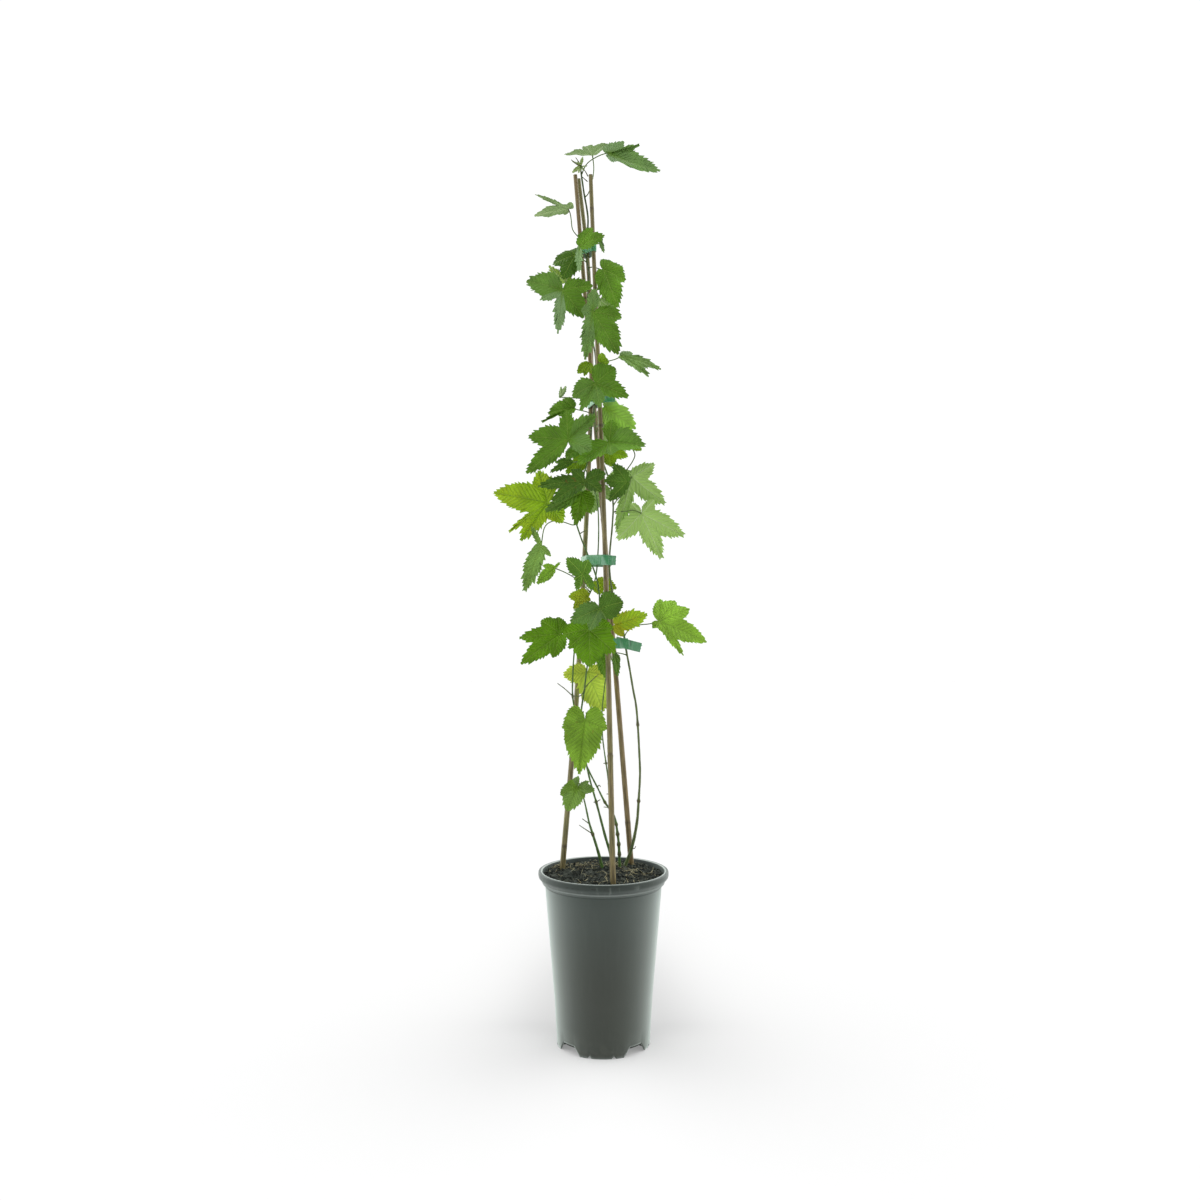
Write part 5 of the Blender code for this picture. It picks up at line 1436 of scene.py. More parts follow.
@dataclass
class BambooCane:
    """A bamboo cane with swollen rings and a cut, hollow top."""

    plan: CanePlan
    finish: BambooFinish
    foot_radius: float = 3.3
    top_radius: float = 2.3
    ridge: float = 0.32
    groove: float = 0.16
    buried: float = 35.0
    places: int = 300
    sides: int = 20

    def route(self) -> Route:
        """The cane's axis from its foot in the compost to its top, thinner upwards.

        Returns:
            The cane's route.
        """
        line = smooth_route(SHEET.line(self.plan.route), self.places)
        foot = line[0] - unit(line[4] - line[0]) * self.buried
        points = np.vstack([foot, line])
        height = (points[:, 2] - line[0, 2]) / (line[-1, 2] - line[0, 2])
        return Route(self.plan.name, points, np.interp(height, (0, 1), (self.foot_radius, self.top_radius)))

    def patch(self, route: Route) -> Patch:
        """The cane: its profile carried along the route, fuller at each ring, and hollow at the top.

        At each ring the radius gains a soft ridge, about 1.8 mm wide each way, with a groove 2.6 mm
        above it, and the mark that darkens the skin lies between the two.

        Args:
            route: the cane's axis.

        Returns:
            The closed rod.
        """
        levels = SHEET.levels(route.points)
        radii = route.radii.copy()
        joint = np.zeros(len(radii))
        for ring in self.plan.rings:
            gap = (levels - ring) * LEVEL_MM
            radii += self.ridge * np.exp(-((gap / 1.8) ** 2))
            radii -= self.groove * np.exp(-(((gap + 2.6) / 1.2) ** 2))
            joint = np.maximum(joint, np.exp(-(((gap + 1.9) / 1.3) ** 2)))
        tip = unit(route.points[-1] - route.points[-2])
        hollow = route.points[-1] + tip * np.array([[0.0], [-0.15], [-2.0]])
        bore = radii[-1] * np.array([0.86, 0.5, 0.42])
        rings = tube(route.points, radii, self.sides).points[:-2].reshape(-1, self.sides, 3)
        inner = hollow[:, None, :] + bore[:, None, None] * unit(rings[-1] - route.points[-1])[None]
        line = np.vstack([route.points, hollow])
        patch = rod(np.concatenate([rings, inner]), line[[0, -1]], run_length(line))
        patch.marks["joint"] = np.concatenate([np.repeat([*joint, 0.3, 0.6, 1.0], self.sides), [0, 1]])
        return patch

    def build(self) -> Route:
        """Makes the cane.

        Returns:
            The cane's route.
        """
        route, name = self.route(), self.plan.name
        make_piece(f"bamboo_{name}", self.patch(route), dressed(self.finish), (name,))
        return route


@dataclass
class ClimbingBine:
    """A hop's climbing stem: six ridges that wind round it, swollen joints, twigs and stubs.

    Its radius is bare_share of the plan's, and grows by full_gain below foot_levels, and by
    top_share of that above top_levels, on the sheet.
    """

    plan: BinePlan
    root_depth: float = 12.0
    sides: int = 18
    ridge_height: float = 0.09
    twist: float = 0.06
    joint_swell: float = 0.75
    joint_reach: float = 1.7
    twig_radius: float = 0.68
    twig_places: int = 16
    twig_sides: int = 8
    twig_mark: float = 0.55
    bare_share: float = 0.7
    full_gain: float = 0.35
    top_share: float = 0.85
    foot_levels: Band = (790, 850)
    top_levels: Band = (262, 222)
    finish: BineFinish = BineFinish()

    def route(self) -> Route:
        """The stem's axis, from below the surface where it is rooted.

        Returns:
            The stem's route.
        """
        line = smooth_route(SHEET.line(self.plan.route), len(self.plan.route) * 9)
        radii = np.linspace(self.plan.foot_radius, self.plan.tip_radius, len(line))
        if self.plan.rooted:
            line = np.vstack([line[0] - (0, 0, self.root_depth), line])
            radii = np.concatenate([radii[:1], radii])
        return Route(self.plan.name, line, radii)

    def ridges(self) -> Array:
        """The profile's factor at each side: 1 plus six low waves."""
        return 1 + self.ridge_height * np.cos(6 * math.tau * np.arange(self.sides) / self.sides)

    def build(self) -> Route:
        """Makes the stem with its joints and twigs.

        Returns:
            The stem's route.
        """
        route = self.route()
        levels = SHEET.levels(route.points)
        swell = np.zeros(len(levels))
        for joint in self.plan.joints:
            swell = np.maximum(swell, np.exp(-(((levels - joint) * LEVEL_MM / self.joint_reach) ** 2)))
        bands = (self.foot_levels, self.top_levels)
        foot, top = (np.clip((levels - low) / (high - low), 0, 1) for low, high in bands)
        thick = self.bare_share + self.full_gain * (foot + self.top_share * top)
        radii = route.radii * thick * (1 + self.joint_swell * swell)
        patch = tube(route.points, radii, self.sides, self.ridges(), self.twist)
        patch.marks["joint"] = np.concatenate([np.repeat(swell, self.sides), [0, 0]])
        patches = [patch]
        for twig in self.plan.twigs:
            line = smooth_route(SHEET.line(twig), self.twig_places)
            thin = np.linspace(1.0, 0.6, len(line)) * self.twig_radius
            thin[-3:] *= (1.15, 1.1, 0.6)
            side = tube(line, thin, self.twig_sides)
            side.marks["joint"] = np.full(len(side.points), self.twig_mark)
            patches.append(side)
        name = self.plan.name
        make_piece(f"stem_{name}", joined(patches), dressed(self.finish), (name,))
        return route


@dataclass
class TieTape:
    """A turn of soft film round canes and stems, creased, with its tail standing off."""

    plan: TapePlan
    width: float = 11.5
    slack: float = 0.5
    thickness: float = 0.25
    columns: int = 150
    rows: int = 9
    tail_columns: int = 70
    tail_hidden: float = 3.0
    fold_share: float = 0.56
    fold_width: float = 0.025
    fold_depth: float = 0.7
    fray_start: float = 0.97
    pale_root: float = 0.85
    crease_height: float = 0.1
    seed: int = 1
    finish: FilmFinish = FilmFinish()

    def outline(self, routes: dict[str, Route], heights: Array) -> tuple[Array, Array]:
        """The taut loop round what is tied: in each direction the furthest of the circles at the heights.

        Args:
            routes: every cane and stem by name.
            heights: the heights at which their circles count.

        Returns:
            The loop's (x, y) places, and the outward direction at each.
        """
        tied = [routes[name] for name in self.plan.ties]
        circles = np.array([route.at_height(float(height)) for route in tied for height in heights])
        ways = rays(math.tau * np.arange(self.columns) / self.columns)
        support = ways @ (circles[:, :2] - circles[:, :2].mean(axis=0)).T + circles[:, 2]
        best = np.argmax(support, axis=1)
        loop = circles[best, :2] + ways * (circles[best, 2] + self.slack)[:, None]
        closed = np.vstack([np.column_stack([loop, ways]), [[*loop[0], *ways[0]]]])
        along = run_length(closed[:, :2])
        even = np.linspace(0, along[-1], self.columns, endpoint=False)
        table = np.column_stack([np.interp(even, along, column) for column in closed.T])
        return table[:, :2], unit(table[:, 2:])

    def sheet_patch(self, middle: Array, out: Array, closed: bool) -> Patch:
        """A sheet of film with both faces: the middle surface moved half a thickness each way.

        Args:
            middle: the surface as a grid of places, rows up the width.
            out: the outward direction at each.
            closed: whether the grid's columns run right round.

        Returns:
            The closed sheet.
        """
        rows, columns = middle.shape[:2]
        half = out * self.thickness / 2
        points = np.vstack([(middle + half).reshape(-1, 3), (middle - half).reshape(-1, 3)])
        c = np.arange(columns if closed else columns - 1)
        d = (c + 1) % columns
        top, back = (rows - 1) * columns, rows * columns
        faces = [
            grid_faces(rows, columns, closed),
            grid_faces(rows, columns, closed, flip=True) + back,
            np.column_stack([d, c, back + c, back + d]),
            np.column_stack([top + c, top + d, back + top + d, back + top + c]),
        ]
        if not closed:
            r = np.arange(rows - 1) * columns
            e = r + columns - 1
            faces.append(np.column_stack([r, r + columns, back + r + columns, back + r]))
            faces.append(np.column_stack([e + columns, e, back + e, back + e + columns]))
        step = np.linalg.norm(middle[0, 1] - middle[0, 0])
        maps = []
        for block in faces:
            place = block % back
            column = place % columns
            wraps = closed & (column.max(axis=1, keepdims=True) == columns - 1)
            column = np.where(wraps & (column == 0), columns, column)
            maps.append(np.stack([column * step, (place // columns) / (rows - 1)], axis=-1))
        return Patch(points, faces, maps)

    def band_patch(self, routes: dict[str, Route]) -> Patch:
        """The band: the loop carried up the tape's width, with soft creases that run across it.

        Args:
            routes: every cane and stem by name.

        Returns:
            The closed band.
        """
        height = routes[self.plan.ties[0]].at_level(self.plan.down)[0][2]
        heights = height + np.linspace(-0.5, 0.5, self.rows) * self.width
        loop, ways = self.outline(routes, heights[[0, self.rows // 2, -1]])
        t = np.linspace(-1, 1, self.rows)[:, None]
        at = np.arange(self.columns)[None, :] / self.columns * math.tau
        crease = self.crease_height * np.sin(5 * at + 1.7 * t + self.seed) * (0.3 + 0.7 * t**2)
        drift = 0.35 * np.sin(at + self.seed) + 0.12 * np.sin(3 * at + 2 * self.seed)
        out = np.column_stack([ways, np.zeros(self.columns)])[None]
        spot = np.column_stack([loop, np.zeros(self.columns)])[None]
        middle = spot + (heights[:, None] + drift)[..., None] * (0, 0, 1) + out * (crease + 0.25)[..., None]
        return self.sheet_patch(middle, np.broadcast_to(out, middle.shape), closed=True)

    def tail_patch(self) -> Patch:
        """The tail: a strip from its root to its tip, waved, with a fold and a frayed end.

        Returns:
            The closed strip.
        """
        root, tip = SHEET.line(self.plan.tail)
        root = root - unit(tip - root) * self.tail_hidden
        way = unit(tip - root)
        out = unit(np.cross(way, (0, 0, 1.0)))
        up = np.cross(out, way)
        s = np.linspace(0, 1, self.tail_columns)[None, :]
        t = np.linspace(-0.5, 0.5, self.rows)[:, None]
        fray = 1 - 0.07 * np.abs(np.sin(9 * t + self.seed)) * (s > self.fray_start)
        length = np.linalg.norm(tip - root)
        fold = np.exp(-(((s - self.fold_share + 0.06 * t) / self.fold_width) ** 2)) + 0 * t
        wave = 0.35 * np.sin(5 * s + 1.4 * t + self.seed) * s - self.fold_depth * fold * (0.6 + t)
        narrow = self.width * (1 - 0.08 * s)
        shares = ((s * fray * length, way), (t * narrow, up), (wave, out))
        middle = root + sum(share[..., None] * direction for share, direction in shares)
        patch = self.sheet_patch(middle, np.broadcast_to(out, middle.shape), closed=False)
        worn = self.pale_root * (1 - smooth_step(s + 0.35 * t, 0.1, 0.34)) + 0.55 * smooth_step(s, 0.955, 1.0)
        patch.marks["worn"] = np.tile(worn.ravel(), 2)
        patch.marks["crease"] = np.tile((0.8 * fold * smooth_step(t, -0.35, 0.1)).ravel(), 2)
        return patch

    def build(self, routes: dict[str, Route]) -> None:
        """Makes the tape.

        Args:
            routes: every cane and stem by name.
        """
        patches = [self.band_patch(routes)] + ([self.tail_patch()] if self.plan.tail else [])
        name = self.plan.name
        make_piece(f"film_{name}", joined(patches), dressed(self.finish), (name,))


class Blade:
    """The shape of a leaf's blade: lobes fanned round the junction.

    A place on the blade is a turn round the junction and a reach from it. Between two lobes the
    direction swings evenly from one midrib to the next, and past the outer lobes it turns on about
    the blade's own axis until both sides meet behind the stalk.
    """

    ROOT, SWELL, SINUS, CLEFT, CLEFT_POWER = 0.65, 2.5, 1.6, 0.5, 0.7

    def __init__(self, plan: LeafPlan) -> None:
        """Places the lobes.

        Args:
            plan: the leaf.
        """
        self.centre = SHEET.seen(*plan.junction)
        spokes = np.array([SHEET.seen(*lobe[:3]) for lobe in plan.lobes]) - self.centre
        self.lengths = np.linalg.norm(spokes, axis=1)
        self.spokes = unit(spokes)
        self.half_widths = np.array([lobe[3] for lobe in plan.lobes], float)
        self.arch, self.fold, self.point = plan.arch, plan.fold, plan.point
        self.axis = unit(np.cross(self.spokes[:-1], self.spokes[1:]).sum(axis=0))
        turns = np.arccos(np.clip((self.spokes[:-1] * self.spokes[1:]).sum(axis=1), -1, 1))
        self.turns = np.concatenate([[0], np.cumsum(turns)])
        self.middle = unit(self.spokes.mean(axis=0))
        self.spare = (math.tau - self.turns[-1]) / 2

    def lobe_reach(self, k: int, offset: Array) -> Array:
        """How far lobe k reaches at an angle off its midrib.

        Its half width at a share t of the midrib is w (1 - t)^point (root + swell t), and behind
        the junction it falls off evenly with the angle.

        Args:
            k: the lobe's number.
            offset: angles off its midrib.

        Returns:
            The reach at each angle, in millimetres.
        """
        t = np.linspace(1e-3, 1, 90)
        width = self.half_widths[k] * (1 - t) ** self.point * (self.ROOT + self.SWELL * t)
        along = t * self.lengths[k]
        angle = np.arctan2(width, along)
        reach = np.interp(offset, angle[::-1], np.hypot(width, along)[::-1])
        fall = np.clip(1 - (offset - math.pi / 2) / (math.pi / 3), 0, 1)
        return np.where(offset > math.pi / 2, self.half_widths[k] * self.ROOT * fall, reach)

    def reach(self, turn: Array) -> tuple[Array, Array]:
        """How far the blade reaches at each turn, with a cleft behind the stalk.

        Args:
            turn: angles round the junction.

        Returns:
            The reach at each, and the lobe that reaches so far.
        """
        reaches = np.array([self.lobe_reach(k, np.abs(turn - at)) for k, at in enumerate(self.turns)])
        behind = np.minimum(turn + self.spare, self.turns[-1] + self.spare - turn)
        cleft = np.clip(behind / self.CLEFT, 0, 1) ** self.CLEFT_POWER
        return np.maximum(reaches.max(axis=0) * cleft, self.SINUS), reaches.argmax(axis=0)

    def direction(self, turn: Array) -> Array:
        """The direction of each turn, swung evenly from one midrib to the next.

        Args:
            turn: angles round the junction.

        Returns:
            The unit directions, one row each.
        """
        k = np.clip(np.searchsorted(self.turns, turn, side="right") - 1, 0, len(self.turns) - 2)
        gap = self.turns[k + 1] - self.turns[k]
        f = np.clip((turn - self.turns[k]) / gap, 0, 1)
        a, b = self.spokes[k], self.spokes[k + 1]
        swung = (a * np.sin((1 - f) * gap)[:, None] + b * np.sin(f * gap)[:, None]) / np.sin(gap)[:, None]
        before = turned_about(np.repeat(self.spokes[:1], len(turn), 0), self.axis, np.minimum(turn, 0))
        over = np.maximum(turn - self.turns[-1], 0)
        past = turned_about(np.repeat(self.spokes[-1:], len(turn), 0), self.axis, over)
        chosen = np.where((turn < 0)[:, None], before, swung)
        return np.where((turn > self.turns[-1])[:, None], past, chosen)

    def place(self, turn: Array, reach: Array) -> Array:
        """The place at a turn and reach: arched towards the tips and folded at each midrib.

        The lift off the cone of directions is arch . 4t(1 - t) + fold . reach . sin(angle off the
        nearest midrib), with t the reach as a share of the lobe's length.

        Args:
            turn: angles round the junction.
            reach: millimetres from it.

        Returns:
            The places, one row each.
        """
        length = np.interp(turn, self.turns, self.lengths)
        t = np.clip(reach / length, 0, 1)
        off = np.abs(turn[None, :] - self.turns[:, None]).min(axis=0)
        lift = self.arch * 4 * t * (1 - t) + self.fold * reach * np.sin(np.minimum(off, math.pi / 2))
        return self.centre + self.direction(turn) * reach[:, None] + self.axis * lift[:, None]


@dataclass
class HopLeaf:
    """A toothed, lobed hop leaf with both faces, its veins' map, and its stalk."""

    plan: LeafPlan
    spacing: float = 0.62
    thickness: float = 0.24
    stalk_radius: float = 0.62
    stalk_rows: int = 26
    stalk_sides: int = 8
    stalk_foot: float = 0.7
    stalk_head: float = 0.3
    stalk_start: float = 0.6
    stalk_sink: float = 0.7
    edge_thinning: float = 0.6
    fewest_columns: int = 60
    vein_slope: float = 0.9
    teeth_a_lobe: float = 7.5
    pitch_limits: Band = (2.2, 5.2)
    tooth_size: float = 0.72
    tooth_drift: float = 0.3
    tooth_ease: Band = (0.62, 1.0)
    wave: float = 0.7
    wave_length: float = 21.0
    wave_full: float = 40.0
    wave_ease: Band = (0.45, 1.0)
    # where the lobes' painted sheen fades in from the junction
    painted_sheen_ease: Band = (0.0, 0.5)
    tooth_rise: float = 0.22
    tooth_base: float = 0.3
    tooth_lean: float = 0.6
    tip_fade: Band = (0.6, 2.6)
    notch_fade: Band = (0.8, 3.2)
    inner_fade: Band = (0.1, 0.34)

    RINGS = (0.06, 0.16, 0.28, 0.4, 0.52, 0.64, 0.75, 0.85, 0.93, 1.0)

    def tooth_pitch(self, lengths: Array) -> Array:
        """The distance between teeth on lobes of these lengths."""
        return np.clip(lengths / self.teeth_a_lobe, *self.pitch_limits)

    def rim(self, blade: Blade) -> tuple[Array, Array, Array]:
        """The rim's columns: turns at equal steps along the outline laid flat.

        Args:
            blade: the leaf's shape.

        Returns:
            The turn, the reach and the lobe of each column.
        """
        fine = np.linspace(-blade.spare, blade.turns[-1] + blade.spare, 4001)
        arc = run_length(blade.reach(fine)[0][:, None] * rays(fine))
        count = max(self.fewest_columns, int(arc[-1] / self.spacing))
        turn = np.interp(np.arange(count) / count * arc[-1], arc, fine)
        reach, lobe = blade.reach(turn)
        return turn, reach, lobe

    def teeth(self, blade: Blade, turn: Array, reach: Array, lobe: Array) -> Array:
        """How each rim place moves in the plane of the outline laid flat, to cut the teeth.

        Counted along the outline from a lobe's tip, a tooth rises over tooth_rise of its pitch and
        falls slowly over the rest, so that it points at the tip. It moves the rim outwards, and
        tooth_lean as far towards the tip. Teeth fade at the tip, between lobes, and at the cleft.

        Args:
            blade: the leaf's shape.
            turn: the rim's turns.
            reach: its reaches.
            lobe: its lobes.

        Returns:
            The move of each rim place as (x, y) in millimetres.
        """
        flat = reach[:, None] * rays(turn)
        tangent = unit(np.roll(flat, -1, axis=0) - np.roll(flat, 1, axis=0))
        outward = np.column_stack([tangent[:, 1], -tangent[:, 0]])
        arc = run_length(flat)
        tips = np.interp(blade.turns, turn, arc)[lobe]
        pitch = self.tooth_pitch(blade.lengths)[lobe]
        away = np.abs(arc - tips)
        chance = np.random.default_rng(len(turn))
        uneven = self.tooth_drift * np.sin(away * chance.uniform(0.15, 0.3) + chance.uniform(0, 6))
        count = away / pitch + uneven
        f = count % 1
        height = np.minimum(f / self.tooth_rise, (1 - f) / (1 - self.tooth_rise))
        size = 0.75 + 0.35 * np.sin(np.floor(count) * 2.4 + lobe)
        ends = np.flatnonzero(np.diff(lobe) != 0)
        gaps = np.abs(arc[:, None] - arc[ends][None, :])
        near_end = gaps.min(axis=1) if len(ends) else np.full(len(arc), arc[-1])
        inner = smooth_step(reach / blade.lengths[lobe], *self.inner_fade)
        fade = smooth_step(away, *self.tip_fade) * smooth_step(near_end, *self.notch_fade) * inner
        towards = -np.sign(turn - blade.turns[lobe])[:, None] * tangent
        grow = (self.tooth_size * self.plan.teeth * pitch * size * fade)[:, None]
        out, along = (height - self.tooth_base)[:, None], self.tooth_lean * height[:, None]
        return grow * (out * outward + along * towards)

    def blade_patch(self, blade: Blade) -> Patch:
        """The blade: the toothed outline scaled down ring by ring, as an upper and an under face.

        Args:
            blade: the leaf's shape.

        Returns:
            The closed blade, with its map and marks.
        """
        turn, reach, lobe = self.rim(blade)
        move = self.teeth(blade, turn, reach, lobe)
        shares = np.array(self.RINGS)
        ray = rays(turn)
        ease = smooth_step(shares, *self.tooth_ease)[:, None, None]
        flat = shares[:, None, None] * reach[None, :, None] * ray[None] + ease * move[None]
        reaches = np.linalg.norm(flat, axis=-1)
        aside = ray[None, :, 0] * flat[..., 1] - ray[None, :, 1] * flat[..., 0]
        turns = turn[None] + np.arctan2(aside, (flat * ray[None]).sum(axis=-1))
        rows, columns = turns.shape
        middle = blade.place(turns.ravel(), reaches.ravel()).reshape(rows, columns, 3)
        arc = run_length(flat[-1])
        phase = arc / arc[-1] * math.tau * max(2, round(arc[-1] / self.wave_length)) + len(turn)
        size = self.wave * min(1.0, blade.lengths.max() / self.wave_full)
        rise = size * np.sin(phase)[None] * smooth_step(shares, *self.wave_ease)[:, None]
        radial = np.gradient(middle, axis=0)
        round_way = np.roll(middle, -1, axis=1) - np.roll(middle, 1, axis=1)
        normal = unit(np.cross(radial, round_way))
        normal = np.where((normal @ blade.axis)[..., None] < 0.15, blade.axis, normal)
        middle = middle + normal * rise[..., None]
        half = normal * (self.thickness / 2) * (1 - self.edge_thinning * shares[:, None, None] ** 4)
        upper, under = (middle + half).reshape(-1, 3), (middle - half).reshape(-1, 3)
        thick = blade.axis * self.thickness
        points = np.vstack([upper, under, blade.centre + thick / 2, blade.centre - thick])
        total = rows * columns
        c = np.arange(columns)
        d = (c + 1) % columns
        rim = total - columns
        faces = [
            grid_faces(rows, columns, flip=True),
            grid_faces(rows, columns) + total,
            fan_faces(0, columns, 2 * total),
            fan_faces(total, columns, 2 * total + 1, flip=True),
            np.column_stack([rim + c, total + rim + c, total + rim + d, rim + d]),
        ]
        flat_points = np.vstack([flat.reshape(-1, 2), flat.reshape(-1, 2), np.zeros((2, 2))])
        maps = [self.vein_map(blade, block, flat_points, lobe) for block in faces]
        plan = self.plan
        # each lobe's painted blue-grey sheen, fading in from the junction
        painted_sheen_lobes = np.array(plan.pale or np.zeros(len(blade.turns)))[lobe]
        pale = smooth_step(shares, *self.painted_sheen_ease)[:, None] * painted_sheen_lobes
        # shade carries the leaf's brightness, partly painted light
        even = {"stalk": 0.0, "shade": plan.shade, "warm": plan.warm, "specks": plan.specks}
        marks = {name: np.full(len(points), value) for name, value in even.items()}
        marks["under"] = np.concatenate([np.zeros(total), np.ones(total), [0, 1]])
        marks["share"] = np.concatenate([np.repeat(shares, columns)] * 2 + [[0, 0]])
        marks["pale"] = np.concatenate([pale.ravel()] * 2 + [[0, 0]])
        sharp = [(low, low + columns) for low in (rim, total + rim)]
        return Patch(points, faces, maps, marks, sharp)

    def vein_map(self, blade: Blade, block: Array, flat: Array, lobe: Array) -> Array:
        """The map of each corner, worked out on the lobe that its face belongs to.

        With u along the lobe's midrib and v off it, the map is (L - u + slope |v|) / pitch, which
        counts the side veins from the tip, and v.

        Args:
            blade: the leaf's shape.
            block: faces as place numbers.
            flat: every place laid flat.
            lobe: the lobe of each column.

        Returns:
            The (u, v) pairs, one for each corner.
        """
        columns, centre = len(lobe), len(flat) - 2
        owner = lobe[np.where(block[:, :1] < centre, block[:, :1] % columns, 0)]
        at = blade.turns[owner]
        spots = flat[block]
        u = spots[..., 0] * np.cos(at) + spots[..., 1] * np.sin(at)
        v = spots[..., 1] * np.cos(at) - spots[..., 0] * np.sin(at)
        length = blade.lengths[owner]
        pitch = self.tooth_pitch(length)
        return np.stack([(length - u + self.vein_slope * np.abs(v)) / pitch, v], axis=-1)

    def stalk_patch(self, blade: Blade, route: Route) -> Patch:
        """The stalk: a thin rod on a bow from the bine's skin to the blade's junction.

        Args:
            blade: the leaf's shape.
            route: the bine that it grows on.

        Returns:
            The closed rod.
        """
        end = blade.centre - blade.axis * self.stalk_radius * self.stalk_sink
        foot, radius, way = route.at_level(self.plan.foot)
        towards = SHEET.seen(*self.plan.via[0]) if self.plan.via else end
        outward = unit((towards - foot) - way * ((towards - foot) @ way))
        start = foot + outward * radius * self.stalk_start
        t = np.linspace(0, 1, self.stalk_rows)[:, None]
        if self.plan.via:
            line = smooth_route(np.vstack([start, SHEET.line(self.plan.via), end]), self.stalk_rows)
        else:
            chord = end - start
            size = np.linalg.norm(chord)
            leaving = start + chord * 0.2 + outward * size * 0.15 + (0, 0, size * 0.1)
            run_in = min(size * 0.35, blade.lengths.max() * 0.4)
            coming = end - unit(blade.middle * 0.6 + blade.axis * 0.8) * run_in
            u = 1 - t
            line = u**3 * start + 3 * u**2 * t * leaving + 3 * u * t**2 * coming + t**3 * end
        s = t[:, 0]
        flare = self.stalk_foot * np.exp(-s / 0.04) + self.stalk_head * np.exp(-(1 - s) / 0.05)
        patch = tube(line, self.stalk_radius * (1 + flare), self.stalk_sides)
        patch.marks["stalk"] = np.ones(len(patch.points))
        return patch

    def build(self, routes: dict[str, Route]) -> None:
        """Makes the leaf.

        Args:
            routes: every stem by name.
        """
        blade = Blade(self.plan)
        patch = joined([self.blade_patch(blade), self.stalk_patch(blade, routes[self.plan.bine])])
        name, carrier = self.plan.name, self.plan.carries
        surface = dressed(BladeFinish(self.plan.tone))
        if carrier:
            make_piece(name, patch, surface)
        else:
            make_piece(f"hop_{name}", patch, surface, (name,))


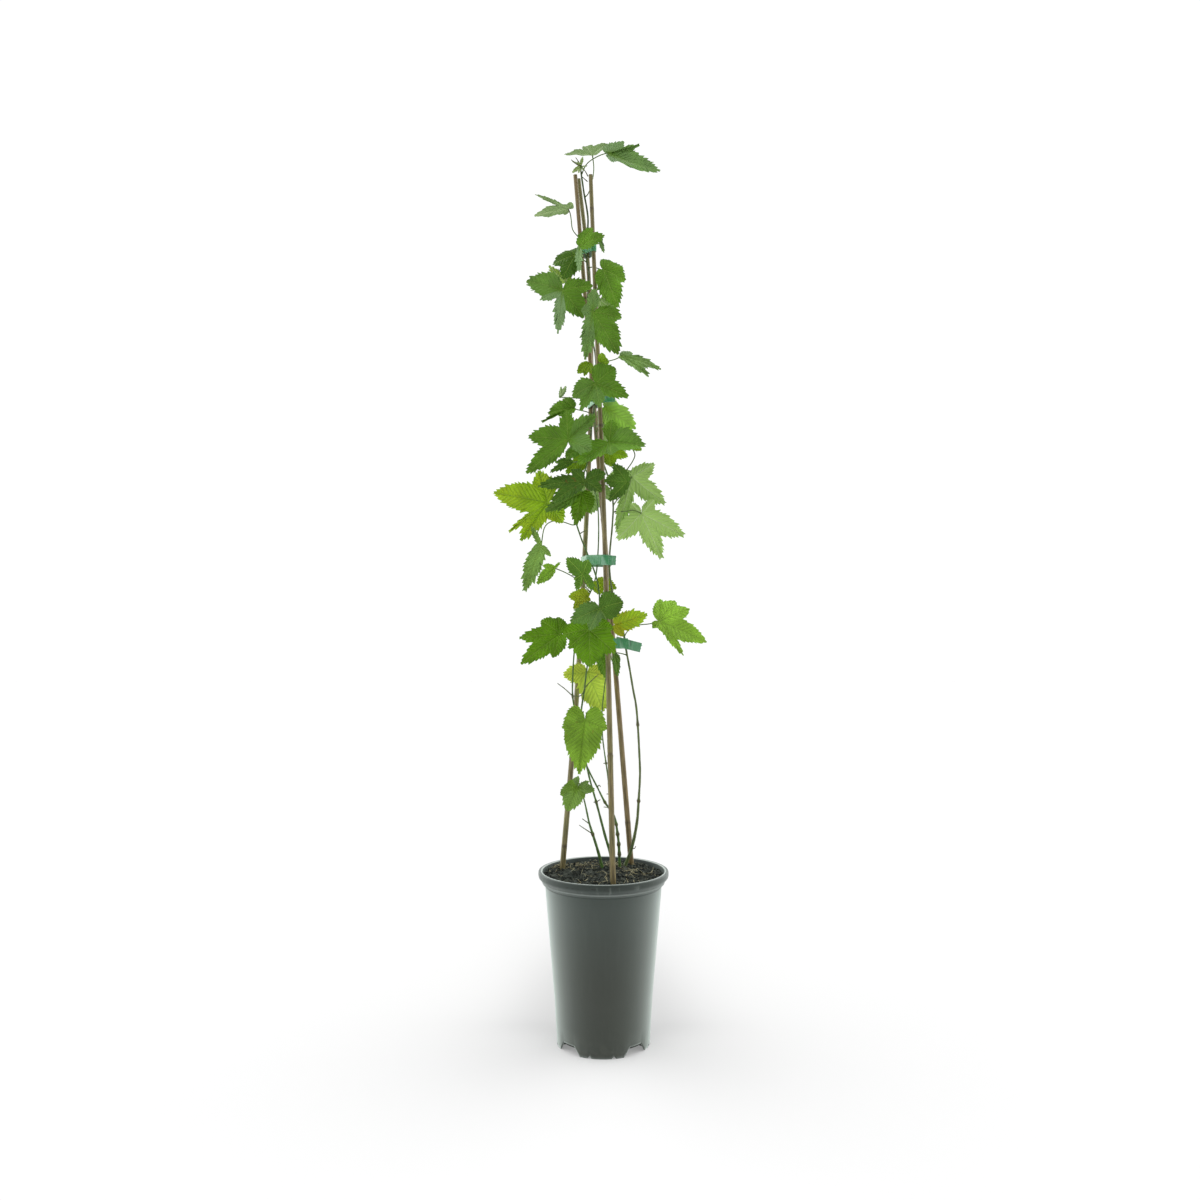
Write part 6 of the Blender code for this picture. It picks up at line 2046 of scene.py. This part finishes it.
@dataclass
class Studio:
    """A pale floor, soft light from all round and above, and the camera at the plant's front."""

    floor_reach: float = 6.0
    floor_drop: float = 0.0002
    floor_glow: float = 0.26
    # where the pot's painted shadow on the floor lies, and how dark and wide it is
    shade_back: float = 0.06
    shade_reach: float = 0.108
    shade_depth: float = 0.28
    shade_power: float = 4.2
    shade_sides: Band = (2.0, 0.3)
    ground: tuple[Place, Place] = ((0.525, 0.525, 0.525), (0.54, 0.54, 0.54))
    bright: float = 2.6
    dim: float = 0.3
    middle_share: float = 0.3
    backdrop: float = 1.05
    key_power: float = 1.2

    def floor(self) -> None:
        """The floor: a wide sheet just under the pot, nearly white, with a painted soft shadow of the pot
        behind it, in its colour and glow.

        The painted shadow is shade_depth / (1 + (distance / shade_reach)^shade_power). The distance is
        taken from a place shade_back behind the pot's middle, and shade_sides say how much it counts
        towards the front and the back.
        """
        r = self.floor_reach
        mesh = bpy.data.meshes.new("studio_floor")
        corners = [(x, y, -self.floor_drop) for x, y in ((-r, -r), (r, -r), (r, r), (-r, r))]
        mesh.from_pydata(corners, [], [(0, 1, 2, 3)])
        g = Graph("studio_floor")
        x, y, _ = g.parts(g.place)
        # painted shadow: the pot's soft shadow, painted into the floor's colour and glow
        back = g.maths("SUBTRACT", y, self.shade_back)
        away = g.distance(x, g.times(back, g.spread(back, -0.01, 0.01, *self.shade_sides)))
        fall = g.maths("POWER", g.times(away, 1 / self.shade_reach), self.shade_power)
        shade = g.maths("DIVIDE", self.shade_depth, g.maths("ADD", fall, 1.0))
        # the painted shadow darkens the floor's glow and its colour
        glow = g.maths("MULTIPLY_ADD", shade, -self.floor_glow, self.floor_glow)
        g.join(g.shader.inputs["Emission Color"], WHITE)
        g.join(g.shader.inputs["Emission Strength"], glow)
        ground = g.blend(g.noise(1.5), *self.ground)
        mesh.materials.append(g.finish(g.blend(shade, ground, (0.0, 0.0, 0.0)), 0.9, None, 0.0, 0.0))
        put_in("studio_floor", mesh)

    def surround_light(self) -> None:
        """The surroundings: white to the eye, and as light dim in front, brightest beside and behind."""
        world = bpy.data.worlds.new("studio_surround")
        world.use_nodes = True
        bpy.context.scene.world = world
        w = Nodes(world.node_tree)
        sky = w.tree.nodes["Background"]
        x, y, _ = w.parts(w.add("ShaderNodeTexCoord").outputs["Generated"])
        behind = w.spread(y, -1.0, 0.3, self.dim, self.bright, Ramp.EVEN)
        beside = w.spread(w.maths("ABSOLUTE", x), 0.0, 0.6, self.middle_share)
        eye = w.add("ShaderNodeLightPath").outputs["Is Camera Ray"]
        strength = w.spread(eye, 0.0, 1.0, w.times(behind, beside), self.backdrop, Ramp.EVEN)
        w.join(sky.inputs["Color"], WHITE)
        w.join(sky.inputs["Strength"], strength)

    def lamp(self, name: str, place: Place, size: float, power: float, aim: Place = (0.0, 0.0, 0.5)) -> None:
        """A square soft lamp.

        Args:
            name: its name.
            place: where it stands, in metres.
            size: its side, in metres.
            power: its power, in watts.
            aim: the place that it faces.
        """
        light = bpy.data.lights.new(name, "AREA")
        light.shape, light.size, light.energy = "SQUARE", size, power
        x, y, z = np.array(aim) - np.array(place)
        lamp = put_in(name, light)
        lamp.location = place
        lamp.rotation_euler = (math.atan2(math.hypot(x, y), -z), 0, math.atan2(-x, y))

    def camera(self) -> None:
        """The camera: level, on the eye of the front sheet."""
        lens = bpy.data.cameras.new("front_camera")
        lens.lens, lens.sensor_width = 35.0, 36.0
        eye = put_in("front_camera", lens)
        eye.location = np.array((SHEET.eye_side, -SHEET.eye_distance, SHEET.eye_height)) * MM
        eye.rotation_euler = (math.pi / 2, 0, 0)
        bpy.context.scene.camera = eye

    def build(self) -> None:
        """Sets up the floor, the light and the camera."""
        self.floor()
        self.surround_light()
        self.lamp("key_light", (-0.7, -1.1, 1.7), 0.9, self.key_power)
        self.camera()
        bpy.context.scene.view_settings.view_transform = "Standard"


CANE_FINISHES = {
    "cane_front": BambooFinish(bloom=0.14),
    "cane_back": BambooFinish(straw=(0.25, 0.185, 0.08), brown=(0.1, 0.07, 0.026)),
    "cane_left": BambooFinish(straw=(0.25, 0.21, 0.09), brown=(0.1, 0.08, 0.032), bloom=0.22),
}

BINE_FINISHES = {
    "bine_right": BineFinish(green=(0.12, 0.17, 0.05), flush=(0.07, 0.085, 0.035)),
    "bine_lead": BineFinish(green=(0.055, 0.1, 0.025), flush=(0.025, 0.04, 0.015), pale=(0.13, 0.19, 0.06)),
}


def main() -> None:
    """Builds the plant piece by piece."""
    logging.basicConfig(level=logging.INFO, format="%(name)s %(message)s")
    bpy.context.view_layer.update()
    Studio().build()
    NurseryPot().build()
    CompostFill().build()
    routes: dict[str, Route] = {}
    for cane in CANES:
        routes[cane.name] = BambooCane(cane, CANE_FINISHES[cane.name]).build()
    for bine in BINES:
        routes[bine.name] = ClimbingBine(bine, finish=BINE_FINISHES.get(bine.name, BineFinish())).build()
    for seed, tape in enumerate(TAPES, start=1):
        TieTape(tape, seed=seed).build(routes)
    for leaf in LEAVES:
        HopLeaf(leaf).build(routes)


if __name__ == "__main__":
    main()
